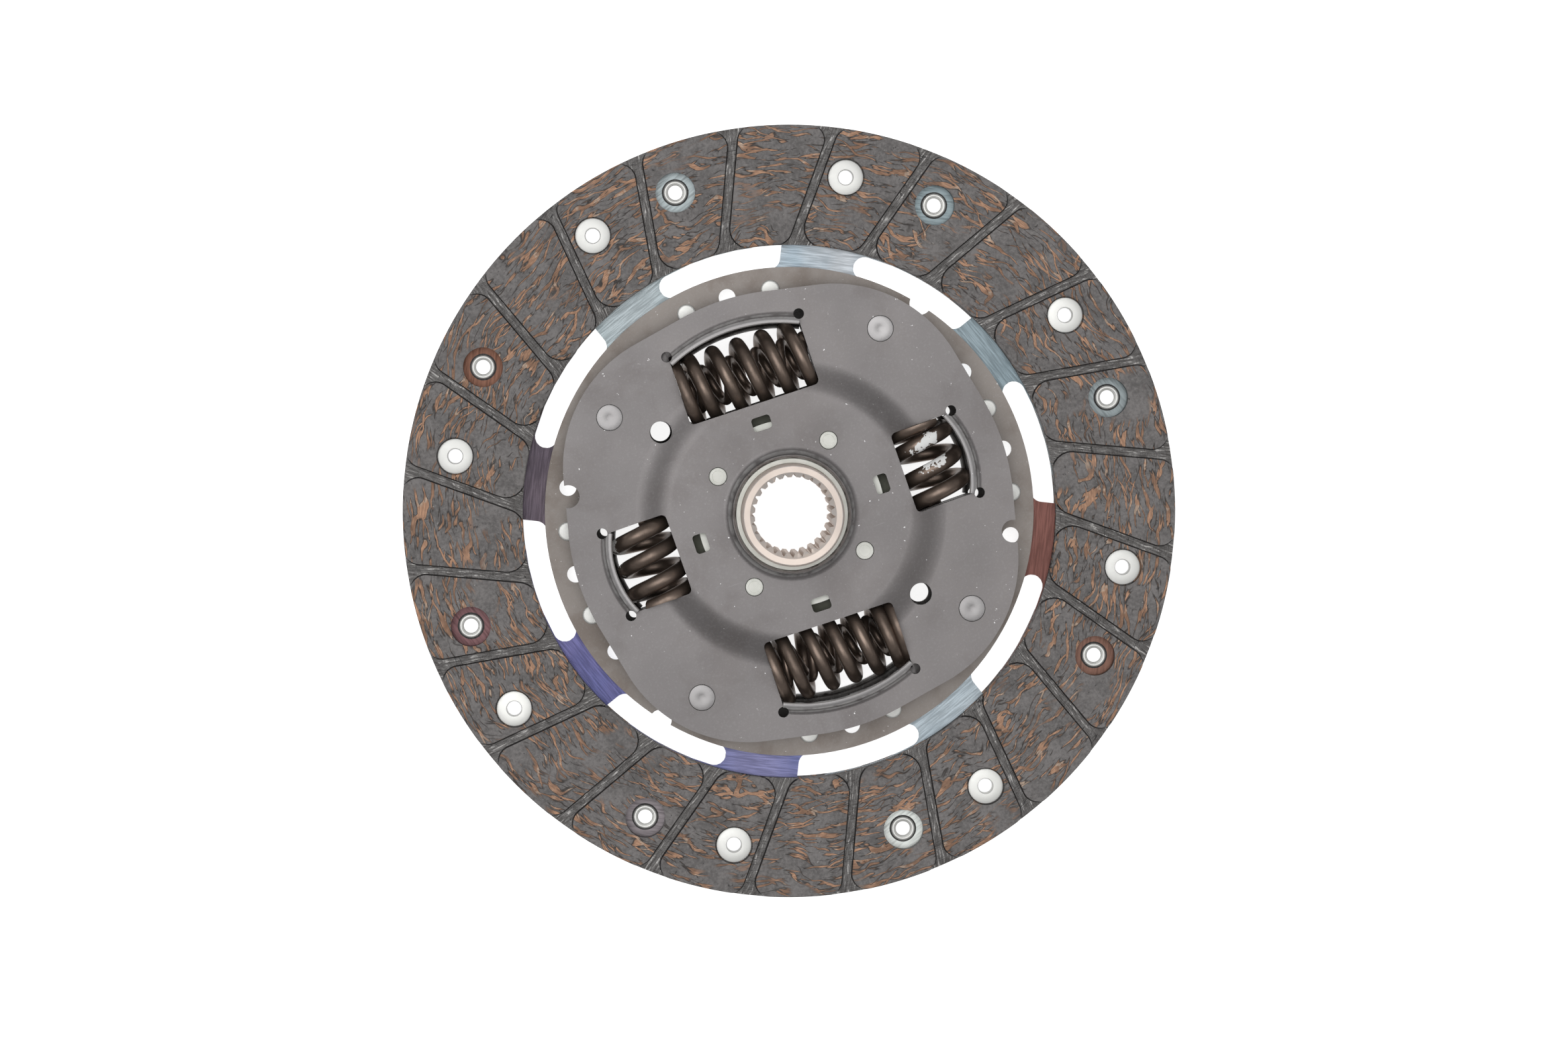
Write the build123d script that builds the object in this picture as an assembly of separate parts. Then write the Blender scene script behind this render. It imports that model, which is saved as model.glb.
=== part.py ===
from build123d import *
import math
import os

# A dry clutch disc with a torsion damper, lying on its rear friction face.
# Millimetres and degrees; Z is the shaft axis and points to the cover plate's side.
# Bearings are measured about Z from +X; the long damper windows stand at +Y and -Y.

# How many sides stand for a full turn on what repeats or lies hidden
small_side_count = 6
large_side_count = 8
ring_side_count = 24
round_side_count = 36
coil_side_count = 10
wire_side_count = 5

# Friction facings: two moulded rings, each with raised pads between slanting grooves
facing_outer_d = 210.0
facing_inner_d = 145.0
facing_t = 3.5
groove_count = 24
groove_w = 2.0
groove_depth = 1.1
groove_first_bearing = 7.6
groove_slant = 15.8
pad_corner = 3.4

# Facing rivets: hollow, half of them headed on each side
facing_rivet_inset = 13.0
facing_rivet_first_front = 17.3
facing_rivet_first_rear = 1.5
facing_rivet_count = 8
facing_rivet_head_d = 9.5
facing_rivet_head_t = 0.8
facing_rivet_shank_d = 5.0
facing_rivet_bore_d = 3.5
facing_rivet_roll_d = 6.5
facing_rivet_roll_h = 1.0
rivet_head_depth = 1.25
head_recess_d = 10.2
roll_access_d = 10.8

# Cushion segments: separate waved spring leaves between the facings
segment_count = 8
segment_t = 0.7
segment_wave = 0.6
segment_foot_bearing = 20.55
paddle_offset = -11.1
paddle_span = 42.0
paddle_outer_inset = 1.5
paddle_inner_inset = 2.3
wave_flat_w = 13.0
wave_pitch = 25.0
neck_w = 20.0
neck_corner = 3.0
foot_span = 34.0
foot_outer_margin = 5.5
foot_inner_margin = 2.2

# Segment rivets: solid, through the foot of each segment and the drive plate's rim
segment_rivet_inset = 5.9
segment_rivet_first = 9.3
segment_rivet_count = 16
segment_rivet_shank_d = 3.6
segment_rivet_head_d = 5.2
segment_rivet_head_h = 0.9

# The two damper plates: pressed sheets that are the same about the damper's middle plane
plate_t = 1.8
damper_half_h = 6.5
dish_outer_r = 42.0
dish_inner_r = 32.5
dish_depth = 2.8

# Drive plate, behind
drive_plate_d = 133.0
rim_hole_d = 4.6
rim_hole_bearings = (-1.95, 20.55, 88.05, 155.55, 178.05, 200.55, 268.05, 335.55)
rim_notch_w = 6.0
rim_notch_depth = 2.7
rim_notch_bearings = (39.6, 220.1)

# Cover plate, in front
cover_base_d = 120.6
cover_lobe_reach = 64.6
cover_lobe_r = 37.9
cover_notch_d = 6.2
cover_notch_bearings = (157.5, 337.1)
neck_outer_d = 32.0
neck_wall = 1.15
neck_h = 5.5
neck_root = 1.4
cover_slot_l = 5.2
cover_slot_w = 3.8
cover_slot_r = 25.6
cover_slot_corner = 0.9
locating_hole_d = 6.0
locating_hole_r = 41.4
locating_hole_bearings = (129.9, 309.9)
rear_locating_hole_d = 5.4

# Spring windows: a straight inner edge, straight ends and an arched outer edge with a bent lip
long_window_l = 36.6
long_window_inner = 31.0
long_window_corner = 47.6
long_window_peak = 51.7
short_window_l = 22.6
short_window_inner = 32.2
short_window_corner = 47.05
short_window_peak = 49.7
short_window_turn = 1.2
window_corner_r = 1.0
lip_h = 2.3
lip_bend = 1.7
relief_hole_d = 2.9
relief_out = 0.45
relief_up = 2.9

# Damper springs
long_spring_d = 20.8
long_spring_wire = 3.7
long_spring_r = 39.3
long_spring_turns = 5.55
long_spring_clock = (43.0, 238.0)
nested_spring_d = 12.8
nested_spring_wire = 2.6
nested_spring_turns = 5.55
nested_spring_clock = (126.0, 335.0)
short_spring_d = 19.0
short_spring_wire = 4.2
short_spring_r = 39.9
short_spring_turns = 3.4
short_spring_clock = (90.0, 144.0)
end_turns = 0.75
end_coil_gap = 0.4
spring_end_gap = 0.04

# Stop pins: shouldered between the plates, with a riveted head on each side
stop_pin_circle_r = 55.35
stop_pin_bearing_off_y = 44.0
stop_pin_body_d = 8.4
stop_pin_head_d = 7.1
stop_pin_head_h = 0.3
damper_travel = 8.0
stop_clearance = 0.25

# Hub flange
flange_t = 5.0
flange_r = 49.8
flange_lobe_r = 57.3
flange_window_clearance = 0.4
flange_locating_clearance = 0.6

# Hub: a splined sleeve that carries the flange against a shoulder
hub_l = 32.5
hub_rear_z = 3.0
hub_d = 27.4
hub_shoulder_d = 36.0
hub_shoulder_t = 1.6
spline_teeth = 28
spline_tip_d = 20.55
spline_root_d = 22.5
spline_tooth_share = 0.44
spline_flank_angle = 30.0
bore_chamfer_d = 23.5
bore_chamfer_h = 0.9
nose_chamfer = 0.7
seat_teeth = 12
seat_root_d = 32.6
seat_tip_d = 34.8
seat_clearance = 0.03

# Bushes and friction stack round the hub
hub_running_gap = 0.08
face_running_gap = 0.05
bush_wall = 0.95
bush_flange_t = 1.5
bush_flange_d = 50.6
bush_below_neck = 0.3
stud_d = 4.92
stud_circle_r = 22.16
stud_proud = 0.2
stud_first_bearing = 45.0
stud_count = 4
stud_hole_gap = 0.06
friction_ring_t = 2.0
friction_ring_inner_d = 38.0
friction_ring_outer_d = 57.4
washer_t = 0.8
washer_inner_d = 36.8
washer_outer_d = 49.0
disc_spring_t = 0.5
disc_spring_inset = 0.2
rear_bush_flange_t = 1.8
rear_bush_flange_d = 52.0

facing_outer_r = facing_outer_d / 2
facing_inner_r = facing_inner_d / 2
facing_rivet_circle_r = facing_outer_r - facing_rivet_inset
paddle_outer_r = facing_outer_r - paddle_outer_inset
paddle_inner_r = facing_inner_r + paddle_inner_inset
segment_rivet_circle_r = drive_plate_d / 2 - segment_rivet_inset
foot_outer_r = segment_rivet_circle_r + foot_outer_margin
foot_inner_r = segment_rivet_circle_r - foot_inner_margin
stack_h = 2 * facing_t + segment_t + segment_wave
front_facing_z = stack_h - facing_t
neck_z = facing_t + segment_wave / 2
drive_plate_z = neck_z + segment_t
middle_z = drive_plate_z + damper_half_h
cover_z = middle_z + damper_half_h - plate_t
cover_front_z = cover_z + plate_t
flange_z = middle_z - flange_t / 2
flange_front_z = flange_z + flange_t
plate_gap = cover_z - drive_plate_z - plate_t


def at(radius, bearing, z=0.0):
    """A place on a circle about the shaft axis."""
    angle = math.radians(bearing)
    return Pos(radius * math.cos(angle), radius * math.sin(angle), z)


def around(piece, count, first=0.0):
    """Copies of a piece spaced evenly about the shaft axis, the first one turned by its bearing."""
    return [Rot(0, 0, first + 360 * k / count) * piece for k in range(count)]


def rod(diameter, height, flats):
    """A many-sided bar along +Z from z = 0, with its corners on the diameter."""
    return extrude(RegularPolygon(diameter / 2, flats), height)


def holes(diameter, radius, bearings, z, height, flats):
    """Cutters on one circle."""
    return [Rot(0, 0, b) * Pos(radius, 0, z) * rod(diameter, height, flats) for b in bearings]


def ring(outer_r, inner_r, z, height):
    """A flat ring about the shaft axis."""
    return Pos(0, 0, z) * extrude(Circle(outer_r) - Circle(inner_r), height)


def sided_ring(outer_r, inner_r, z, height, sides=ring_side_count):
    """A flat ring with straight sides: its corners on the outer radius, its hole's sides on the inner one."""
    face = RegularPolygon(outer_r, sides) - RegularPolygon(inner_r, sides, major_radius=False)
    return Pos(0, 0, z) * extrude(face, height)


def frustum(base_r, top_r, height, sides):
    """A many-sided bar from z = 0 that tapers from one corner radius to the other."""
    inset = (base_r - top_r) * math.cos(math.pi / sides)
    return extrude(RegularPolygon(base_r, sides), height, taper=math.degrees(math.atan2(inset, height)))


def turned(points):
    """A solid turned about the shaft axis from (radius, height) points."""
    return revolve(make_face(Plane.XZ * Polyline(*points, close=True)), Axis.Z)


def toothed_outline(tip_r, root_r, teeth, tooth_share, flank_angle):
    """A ring of straight-flanked teeth that stand inwards from the root circle."""
    pitch = 2 * math.pi / teeth
    tip_half = tooth_share * pitch / 2
    depth = root_r - tip_r
    root_half = tip_half * tip_r / root_r + depth * math.tan(math.radians(flank_angle)) / root_r
    points = []
    for k in range(teeth):
        middle = k * pitch
        for radius, angle in (
            (root_r, middle - root_half),
            (tip_r, middle - tip_half),
            (tip_r, middle + tip_half),
            (root_r, middle + root_half),
        ):
            points.append((radius * math.cos(angle), radius * math.sin(angle)))
    return make_face(Polyline(*points, close=True))


UP = (Align.CENTER, Align.CENTER, Align.MIN)


def facing_rivet_bearings(first):
    """The bearings of the rivets that are headed on one side."""
    return [first + 360 * k / facing_rivet_count for k in range(facing_rivet_count)]


def groove_outline():
    """One groove's outline, flared at both rims, across the middle of the facing at the bearing 0."""
    middle_r = (facing_outer_r + facing_inner_r) / 2
    lean = math.radians(groove_slant)
    half = groove_w / 2
    flare = half + pad_corner
    past = 2 * pad_corner
    ends = []
    for rim_r, way in ((facing_inner_r, -1), (facing_outer_r, 1)):
        rim_x = math.sqrt(rim_r**2 - (middle_r * math.sin(lean)) ** 2) - middle_r * math.cos(lean)
        ends += [(rim_x + way * x, y) for x, y in ((-pad_corner, half), (0, flare), (past, flare + past))]
    line = sorted(ends)
    outline = make_face(Polyline(*line, *[(x, -y) for x, y in reversed(line)], close=True))
    return at(middle_r, 0) * Rot(0, 0, -groove_slant) * outline


def make_front_facing():
    """The front facing, its base at z = 0 and its friction face up."""
    body = ring(facing_outer_r, facing_inner_r, 0, facing_t)
    groove = Pos(0, 0, facing_t - groove_depth) * extrude(groove_outline(), facing_t)
    body = body - around(groove, groove_count, groove_first_bearing)
    fronts = facing_rivet_bearings(facing_rivet_first_front)
    rears = facing_rivet_bearings(facing_rivet_first_rear)
    seat = facing_t - rivet_head_depth - facing_rivet_head_t
    circle = facing_rivet_circle_r
    body = body - holes(head_recess_d, circle, fronts, seat, facing_t, large_side_count)
    body = body - holes(facing_rivet_shank_d, circle, fronts, -1, facing_t, small_side_count)
    return body - holes(roll_access_d, circle, rears, -1, facing_t + 2, large_side_count)


def make_rear_facing(front):
    """The same moulding turned over about the line midway between the two sets of rivets."""
    flip = facing_rivet_first_front + facing_rivet_first_rear
    return Rot(0, 0, flip) * Pos(0, 0, facing_t) * Rot(180, 0, 0) * front


def make_facing_rivet():
    """One hollow rivet: its head's seat at z = 0, its head up and its rolled end down."""
    grip = facing_t - rivet_head_depth - facing_rivet_head_t + segment_t
    end = grip + facing_rivet_roll_h
    rivet = rod(facing_rivet_head_d, facing_rivet_head_t, small_side_count)
    rivet = rivet + Pos(0, 0, -grip) * rod(facing_rivet_shank_d, grip, small_side_count)
    rivet = rivet + Pos(0, 0, -end) * rod(facing_rivet_roll_d, facing_rivet_roll_h, small_side_count)
    return rivet - Pos(0, 0, -end) * rod(facing_rivet_bore_d, end + facing_rivet_head_t, small_side_count)


def wave_section():
    """The waved leaf seen along its radius: high and low flats joined by slopes."""
    low, high = 0.0, segment_wave
    flat = wave_flat_w / 2
    crest = wave_pitch / 2
    reach = paddle_outer_r
    line = [
        (-reach, high),
        (-3 * crest + flat, high),
        (-crest - flat, low),
        (-crest + flat, low),
        (crest - flat, high),
        (crest + flat, high),
        (3 * crest - flat, low),
        (reach, low),
    ]
    top = [(y, z + segment_t) for y, z in reversed(line)]
    return make_face(Plane.YZ * Polyline(*line, *top, close=True))


def sector(outer_r, inner_r, span, corner):
    """A plate's outline between two radii about the bearing 0, straight across each sixth of its span."""
    half = math.radians(span / 2)
    angles = [half * k / 3 for k in range(-3, 4)]
    line = [(outer_r * math.cos(a), outer_r * math.sin(a)) for a in angles]
    line += [(inner_r * math.cos(a), inner_r * math.sin(a)) for a in reversed(angles)]
    face = make_face(Polyline(*line, close=True))
    ends = [v for v in face.vertices() if abs(abs(math.atan2(v.Y, v.X)) - half) < 1e-6]
    return chamfer(ends, corner)


def make_segment():
    """One cushion segment with its foot centred on the bearing 0, its low level at z = 0."""
    paddle = sector(paddle_outer_r, paddle_inner_r, paddle_span, neck_corner)
    waved = extrude(wave_section(), 2 * paddle_outer_r) & extrude(paddle, facing_t)
    waved = Rot(0, 0, paddle_offset) * waved
    foot = sector(foot_outer_r, foot_inner_r, foot_span, neck_corner / 2)
    start = (foot_outer_r + foot_inner_r) / 2
    end = paddle_inner_r + neck_corner
    wide = neck_w / 2 + neck_corner
    half = neck_w / 2
    root = foot_outer_r - neck_corner / 2
    line = [(start, wide), (root, wide), (root + neck_corner, half), (end, half)]
    neck = make_face(Polyline(*line, *[(x, -y) for x, y in reversed(line)], close=True))
    body = waved + Pos(0, 0, segment_wave / 2) * extrude(foot + neck, segment_t)
    off = segment_rivet_first - segment_foot_bearing
    circle = segment_rivet_circle_r
    body = body - holes(segment_rivet_shank_d, circle, (off, -off), -1, facing_t, small_side_count)
    body = body - holes(rim_hole_d, circle, (0,), -1, facing_t, small_side_count)
    firsts = (facing_rivet_first_front, facing_rivet_first_rear)
    bearings = [first - segment_foot_bearing for first in firsts]
    circle = facing_rivet_circle_r
    return body - holes(facing_rivet_shank_d, circle, bearings, -1, facing_t, small_side_count)


def make_segment_rivet():
    """One solid rivet: its grip starts at z = 0."""
    grip = segment_t + plate_t
    head = rod(segment_rivet_head_d, segment_rivet_head_h, small_side_count)
    shank = rod(segment_rivet_shank_d, grip, small_side_count)
    return Pos(0, 0, grip) * head + shank + Pos(0, 0, -segment_rivet_head_h) * head


def window_outline(length, inner, corner, peak, corner_r=window_corner_r):
    """A spring window's outline about +Y."""
    half = length / 2
    arch = ThreePointArc((half, corner), (0, peak), (-half, corner))
    sides = Polyline((-half, corner), (-half, inner), (half, inner), (half, corner))
    face = make_face(arch + sides)
    inner_corners = face.vertices().sort_by(Axis.Y)[:2]
    return chamfer(inner_corners, corner_r)


def make_lip(length, corner, peak):
    """The band of sheet bent up along a window's arched edge, from z = 0 up, eased under its bend."""
    half = length / 2
    rise = peak - corner
    arch_r = (half**2 + rise**2) / (2 * rise)
    bent = [(arch_r, lip_bend), (arch_r + lip_bend, 0), (arch_r + plate_t, 0)]
    bent += [(arch_r + plate_t, plate_t + lip_h), (arch_r, plate_t + lip_h)]
    band = Pos(0, peak - arch_r) * turned(bent)
    return band & Pos(0, corner + rise, 0) * Box(length, 2 * rise, 4 * plate_t + 2 * lip_h)


def window_places():
    """Each window's bearing from +Y and its sizes."""
    long_size = (long_window_l, long_window_inner, long_window_corner, long_window_peak)
    short_size = (short_window_l, short_window_inner, short_window_corner, short_window_peak)
    return (
        (0.0, long_size),
        (180.0, long_size),
        (90.0 + short_window_turn, short_size),
        (270.0 + short_window_turn, short_size),
    )


def cut_windows(plate, z, front):
    """Opens the four windows of a damper plate and bends up their lips."""
    way = 1 if front else -1
    near = z if front else z + plate_t
    for turn, (length, inner, corner, peak) in window_places():
        outline = window_outline(length, inner, corner, peak)
        wider = window_outline(length, inner, corner + lip_bend, peak + lip_bend)
        opening = Pos(0, 0, z - dish_depth - 1) * extrude(outline, plate_t + 2 * dish_depth + 2)
        room = Pos(0, 0, near) * extrude(wider, way * plate_t)
        plate = plate - Rot(0, 0, turn) * (opening + room)
        lip = make_lip(length, corner, peak)
        if not front:
            lip = Rot(0, 180, 0) * lip
        plate = plate + Rot(0, 0, turn) * Pos(0, 0, near) * lip
        for side in (-1, 1):
            where = Pos(side * (length / 2 + relief_out), corner + relief_up, z - lip_h - 1)
            relief = rod(relief_hole_d, plate_t + 2 * lip_h + 2, small_side_count)
            plate = plate - Rot(0, 0, turn) * where * relief
    return plate


def dished_sheet(outline):
    """A plate of this outline, its rim from z = 0 up, with the middle pressed up."""
    dish = frustum(dish_outer_r, dish_inner_r, dish_depth, round_side_count)
    body = extrude(outline, plate_t) + Pos(0, 0, plate_t) * dish
    return body - dish


def stop_pin_bearings():
    """The four stop pins' bearings."""
    off = stop_pin_bearing_off_y
    return (90 - off, 90 + off, 270 - off, 270 + off)


def make_cover_plate():
    """The cover plate: a lobed outline, a raised middle and a neck drawn up round the hub."""
    lobes = [
        (at(cover_lobe_reach - cover_lobe_r, b) * Circle(cover_lobe_r)).edge() for b in stop_pin_bearings()
    ]
    outline = make_hull([Circle(cover_base_d / 2).edge(), *lobes])
    plate = Pos(0, 0, cover_z) * dished_sheet(outline)
    middle_front = cover_front_z + dish_depth
    neck_r = neck_outer_d / 2
    root = frustum(neck_r + neck_root, neck_r, neck_root, round_side_count)
    neck = Pos(0, 0, middle_front) * (root + rod(neck_outer_d, neck_h, round_side_count))
    bore = extrude(RegularPolygon(neck_r - neck_wall, round_side_count), 2 * middle_front)
    plate = plate + neck - bore
    high = 2 * middle_front
    notches = holes(cover_notch_d, cover_base_d / 2, cover_notch_bearings, 0, high, large_side_count)
    plate = plate - notches
    plate = cut_windows(plate, cover_z, True)
    pins = holes(stop_pin_head_d, stop_pin_circle_r, stop_pin_bearings(), 0, high, large_side_count)
    plate = plate - pins
    locating = holes(locating_hole_d, locating_hole_r, locating_hole_bearings, 0, high, large_side_count)
    plate = plate - locating
    studs = [stud_first_bearing + 360 * k / stud_count for k in range(stud_count)]
    plate = plate - holes(stud_d + 2 * stud_hole_gap, stud_circle_r, studs, 0, high, large_side_count)
    slot = Rectangle(cover_slot_w, cover_slot_l)
    slot = extrude(chamfer(slot.vertices(), cover_slot_corner), high)
    return plate - around(Pos(cover_slot_r, 0, 0) * slot, 4)


def make_drive_plate():
    """The drive plate: it carries the segments on its rim and mirrors the cover's dish and windows."""
    rim_r = drive_plate_d / 2
    bore_r = hub_d / 2 + hub_running_gap + bush_wall
    plate = Pos(0, 0, drive_plate_z + plate_t) * Rot(180, 0, 0) * dished_sheet(Circle(rim_r))
    low = drive_plate_z - dish_depth - 1
    high = plate_t + 2 * dish_depth + 2
    plate = plate - Pos(0, 0, low) * rod(2 * bore_r, high, round_side_count)
    plate = cut_windows(plate, drive_plate_z, False)
    rivets = [segment_rivet_first + 360 * k / segment_rivet_count for k in range(segment_rivet_count)]
    circle = segment_rivet_circle_r
    plate = plate - holes(segment_rivet_shank_d, circle, rivets, low, high, small_side_count)
    plate = plate - holes(rim_hole_d, circle, rim_hole_bearings, low, high, small_side_count)
    pins = holes(stop_pin_head_d, stop_pin_circle_r, stop_pin_bearings(), low, high, large_side_count)
    plate = plate - pins
    locating = locating_hole_bearings
    plate = plate - holes(rear_locating_hole_d, locating_hole_r, locating, low, high, large_side_count)
    notch = Pos(0, 0, low) * rod(rim_notch_w, high, large_side_count)
    notch = notch + Pos(rim_notch_w / 2, 0, low) * Box(rim_notch_w, rim_notch_w, high, align=UP)
    for bearing in rim_notch_bearings:
        floor = rim_r - rim_notch_depth + rim_notch_w / 2
        plate = plate - Rot(0, 0, bearing) * Pos(floor, 0, 0) * notch
    return plate


def make_stop_pin():
    """One stop pin: a spacer between the plates with a flush head riveted over on each side."""
    head_l = plate_t + stop_pin_head_h
    body = rod(stop_pin_body_d, plate_gap, large_side_count)
    ends = Pos(0, 0, -head_l) * rod(stop_pin_head_d, plate_gap + 2 * head_l, large_side_count)
    return body + ends


def make_hub_flange():
    """The hub flange: two lobes that stop against the pins, two closed and two open spring windows."""
    reach = 2 * flange_lobe_r
    body_half = math.degrees(math.asin(stop_pin_body_d / 2 / stop_pin_circle_r))
    clear_half = math.degrees(stop_clearance / stop_pin_circle_r)
    half = math.radians(stop_pin_bearing_off_y - body_half - damper_travel - clear_half)
    side = reach * math.tan(half)
    lobe = Circle(flange_lobe_r) & Polygon((0, 0), (side, reach), (-side, reach), align=None)
    outline = Circle(flange_r) + lobe + Rot(0, 0, 180) * lobe
    grow = flange_window_clearance
    inner = long_spring_r - long_spring_d / 2 - grow
    corner = long_spring_r + long_spring_d / 2 + grow
    window = window_outline(long_window_l, inner, corner, long_window_peak + grow, grow)
    outline = outline - window - Rot(0, 0, 180) * window
    inner = short_spring_r - short_spring_d / 2 - grow
    slot = Pos(0, inner + flange_r / 2) * Rectangle(short_window_l, flange_r)
    for turn in (90.0, 270.0):
        outline = outline - Rot(0, 0, turn + short_window_turn) * slot
    root_r = seat_root_d / 2 + seat_clearance
    tip_r = seat_tip_d / 2 + seat_clearance
    seat = toothed_outline(root_r, tip_r, seat_teeth, spline_tooth_share, spline_flank_angle)
    outline = outline - seat
    flange = Pos(0, 0, flange_z) * extrude(outline, flange_t)
    sweep_room = locating_hole_d + 2 * flange_locating_clearance
    low = flange_z - 1
    high = flange_t + 2
    return flange - holes(sweep_room, locating_hole_r, locating_hole_bearings, low, high, large_side_count)


def make_hub():
    """The hub: a sleeve with an internal spline, a shoulder and a toothed seat for the flange."""
    top = hub_rear_z + hub_l
    outer = hub_d / 2
    straight_l = hub_l - 2 * nose_chamfer
    nose = frustum(outer, outer - nose_chamfer, nose_chamfer, round_side_count)
    sleeve = rod(hub_d, straight_l, round_side_count) + Pos(0, 0, straight_l) * nose + Rot(180, 0, 0) * nose
    sleeve = Pos(0, 0, hub_rear_z + nose_chamfer) * sleeve
    shoulder = Pos(0, 0, flange_front_z) * rod(hub_shoulder_d, hub_shoulder_t, round_side_count)
    seat = toothed_outline(
        seat_root_d / 2, seat_tip_d / 2, seat_teeth, spline_tooth_share, spline_flank_angle
    )
    hub = sleeve + shoulder + Pos(0, 0, flange_z) * extrude(seat, flange_t)
    bore = toothed_outline(
        spline_tip_d / 2, spline_root_d / 2, spline_teeth, spline_tooth_share, spline_flank_angle
    )
    hub = hub - Pos(0, 0, hub_rear_z - 1) * extrude(bore, hub_l + 2)
    chamfer_r = bore_chamfer_d / 2
    inner_r = spline_tip_d / 2 - 1
    depth = bore_chamfer_h * (chamfer_r - inner_r) / (chamfer_r - spline_tip_d / 2)
    countersink = frustum(chamfer_r, inner_r, depth, spline_teeth)
    hub = hub - Pos(0, 0, hub_rear_z) * countersink
    return hub - Pos(0, 0, top) * Rot(180, 0, 0) * countersink


def make_front_bush():
    """The front bush: a collar on the hub, a flange under the cover and studs through its holes."""
    bore_r = hub_d / 2 + hub_running_gap
    collar_r = neck_outer_d / 2 - neck_wall
    under = cover_z + dish_depth
    top = cover_front_z + dish_depth + neck_h - bush_below_neck
    sides = round_side_count
    bush = sided_ring(bush_flange_d / 2, bore_r, under - bush_flange_t, bush_flange_t, sides)
    bush = bush + sided_ring(collar_r, bore_r, under, top - under, sides)
    stud = rod(stud_d, plate_t + stud_proud, large_side_count)
    return bush + around(Pos(stud_circle_r, 0, under) * stud, stud_count, stud_first_bearing)


def make_rear_bush():
    """The rear bush: a collar in the drive plate's bore and a flange on its front."""
    bore_r = hub_d / 2 + hub_running_gap
    floor = drive_plate_z - dish_depth
    sides = round_side_count
    bush = sided_ring(bore_r + bush_wall, bore_r, floor, plate_t, sides)
    return bush + sided_ring(rear_bush_flange_d / 2, bore_r, floor + plate_t, rear_bush_flange_t, sides)


def make_rear_friction_ring():
    """The rear friction ring, between the rear bush and the hub flange."""
    z = drive_plate_z - dish_depth + plate_t + rear_bush_flange_t
    height = flange_z - face_running_gap - z
    return sided_ring(friction_ring_outer_d / 2, friction_ring_inner_d / 2, z, height)


def make_friction_ring():
    """The front friction ring, which rubs on the hub flange."""
    z = flange_front_z + face_running_gap
    return sided_ring(friction_ring_outer_d / 2, friction_ring_inner_d / 2, z, friction_ring_t)


def make_support_washer():
    """The steel washer that spreads the disc spring's load on the friction ring."""
    z = flange_front_z + face_running_gap + friction_ring_t
    return sided_ring(washer_outer_d / 2, washer_inner_d / 2, z, washer_t)


def make_disc_spring():
    """The coned disc spring between the support washer and the front bush."""
    bottom = flange_front_z + face_running_gap + friction_ring_t + washer_t
    top = cover_z + dish_depth - bush_flange_t
    inner = washer_inner_d / 2 + disc_spring_inset
    outer = washer_outer_d / 2 - disc_spring_inset
    rise = top - bottom - disc_spring_t
    cone = frustum(outer, inner, rise, ring_side_count)
    solid = extrude(RegularPolygon(outer, ring_side_count), disc_spring_t) + Pos(0, 0, disc_spring_t) * cone
    hollow = cone + Pos(0, 0, rise) * extrude(RegularPolygon(inner, ring_side_count), disc_spring_t)
    return Pos(0, 0, bottom) * (solid - hollow)


def make_spring(coil_d, wire, length, turns, left=False):
    """A coil spring along +Z with closed, ground ends, from z = 0, as flat faces between sections."""
    coil_r = (coil_d - wire) / 2
    lift = wire / 4
    end_pitch = wire + end_coil_gap
    end_rise = end_turns * end_pitch
    pitch = (length - 2 * lift - 2 * end_rise) / (turns - 2 * end_turns)
    steps = math.ceil(turns * coil_side_count)
    way = -1 if left else 1
    rows = []
    for k in range(steps + 1):
        turn = turns * k / steps
        rise = lift + end_pitch * min(turn, end_turns)
        rise += pitch * max(0, min(turn, turns - end_turns) - end_turns)
        rise += end_pitch * max(0, turn - turns + end_turns)
        row = []
        for j in range(wire_side_count):
            angle = 2 * math.pi * j / wire_side_count
            radius = coil_r + wire / 2 * math.cos(angle)
            height = min(max(rise + wire / 2 * math.sin(angle), 0), length)
            bearing = way * 2 * math.pi * turn
            row.append((radius * math.cos(bearing), radius * math.sin(bearing), height))
        rows.append(row)
    faces = [Face(Wire.make_polygon(rows[0])), Face(Wire.make_polygon(rows[-1]))]
    for before, after in zip(rows, rows[1:]):
        for j in range(wire_side_count):
            a, b = before[j], before[j - 1]
            c, d = after[j - 1], after[j]
            faces.append(Face(Wire.make_polygon([a, b, c])))
            faces.append(Face(Wire.make_polygon([a, c, d])))
    return Solid(Shell(faces))


def place_spring(spring, length, clock, radius, turn):
    """Lays a spring along its window, with the start of its wire turned by clock from the rim's side."""
    spring = Pos(0, 0, -length / 2) * Rot(0, 0, clock + 90) * spring
    return Rot(0, 0, turn) * Pos(0, radius, middle_z) * Rot(0, 90, 0) * spring


def make_springs():
    """All six springs by name."""
    made = {}
    length = long_window_l - 2 * spring_end_gap
    outer = make_spring(long_spring_d, long_spring_wire, length, long_spring_turns)
    nested = make_spring(nested_spring_d, nested_spring_wire, length, nested_spring_turns, True)
    for k, turn in enumerate((0.0, 180.0)):
        made[f"long_spring_{k + 1}"] = place_spring(
            outer, length, long_spring_clock[k], long_spring_r, turn
        )
        made[f"nested_spring_{k + 1}"] = place_spring(
            nested, length, nested_spring_clock[k], long_spring_r, turn
        )
    length = short_window_l - 2 * spring_end_gap
    short = make_spring(short_spring_d, short_spring_wire, length, short_spring_turns)
    for k, turn in enumerate((90.0, 270.0)):
        made[f"short_spring_{k + 1}"] = place_spring(
            short, length, short_spring_clock[k], short_spring_r, turn + short_window_turn
        )
    return made


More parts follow.
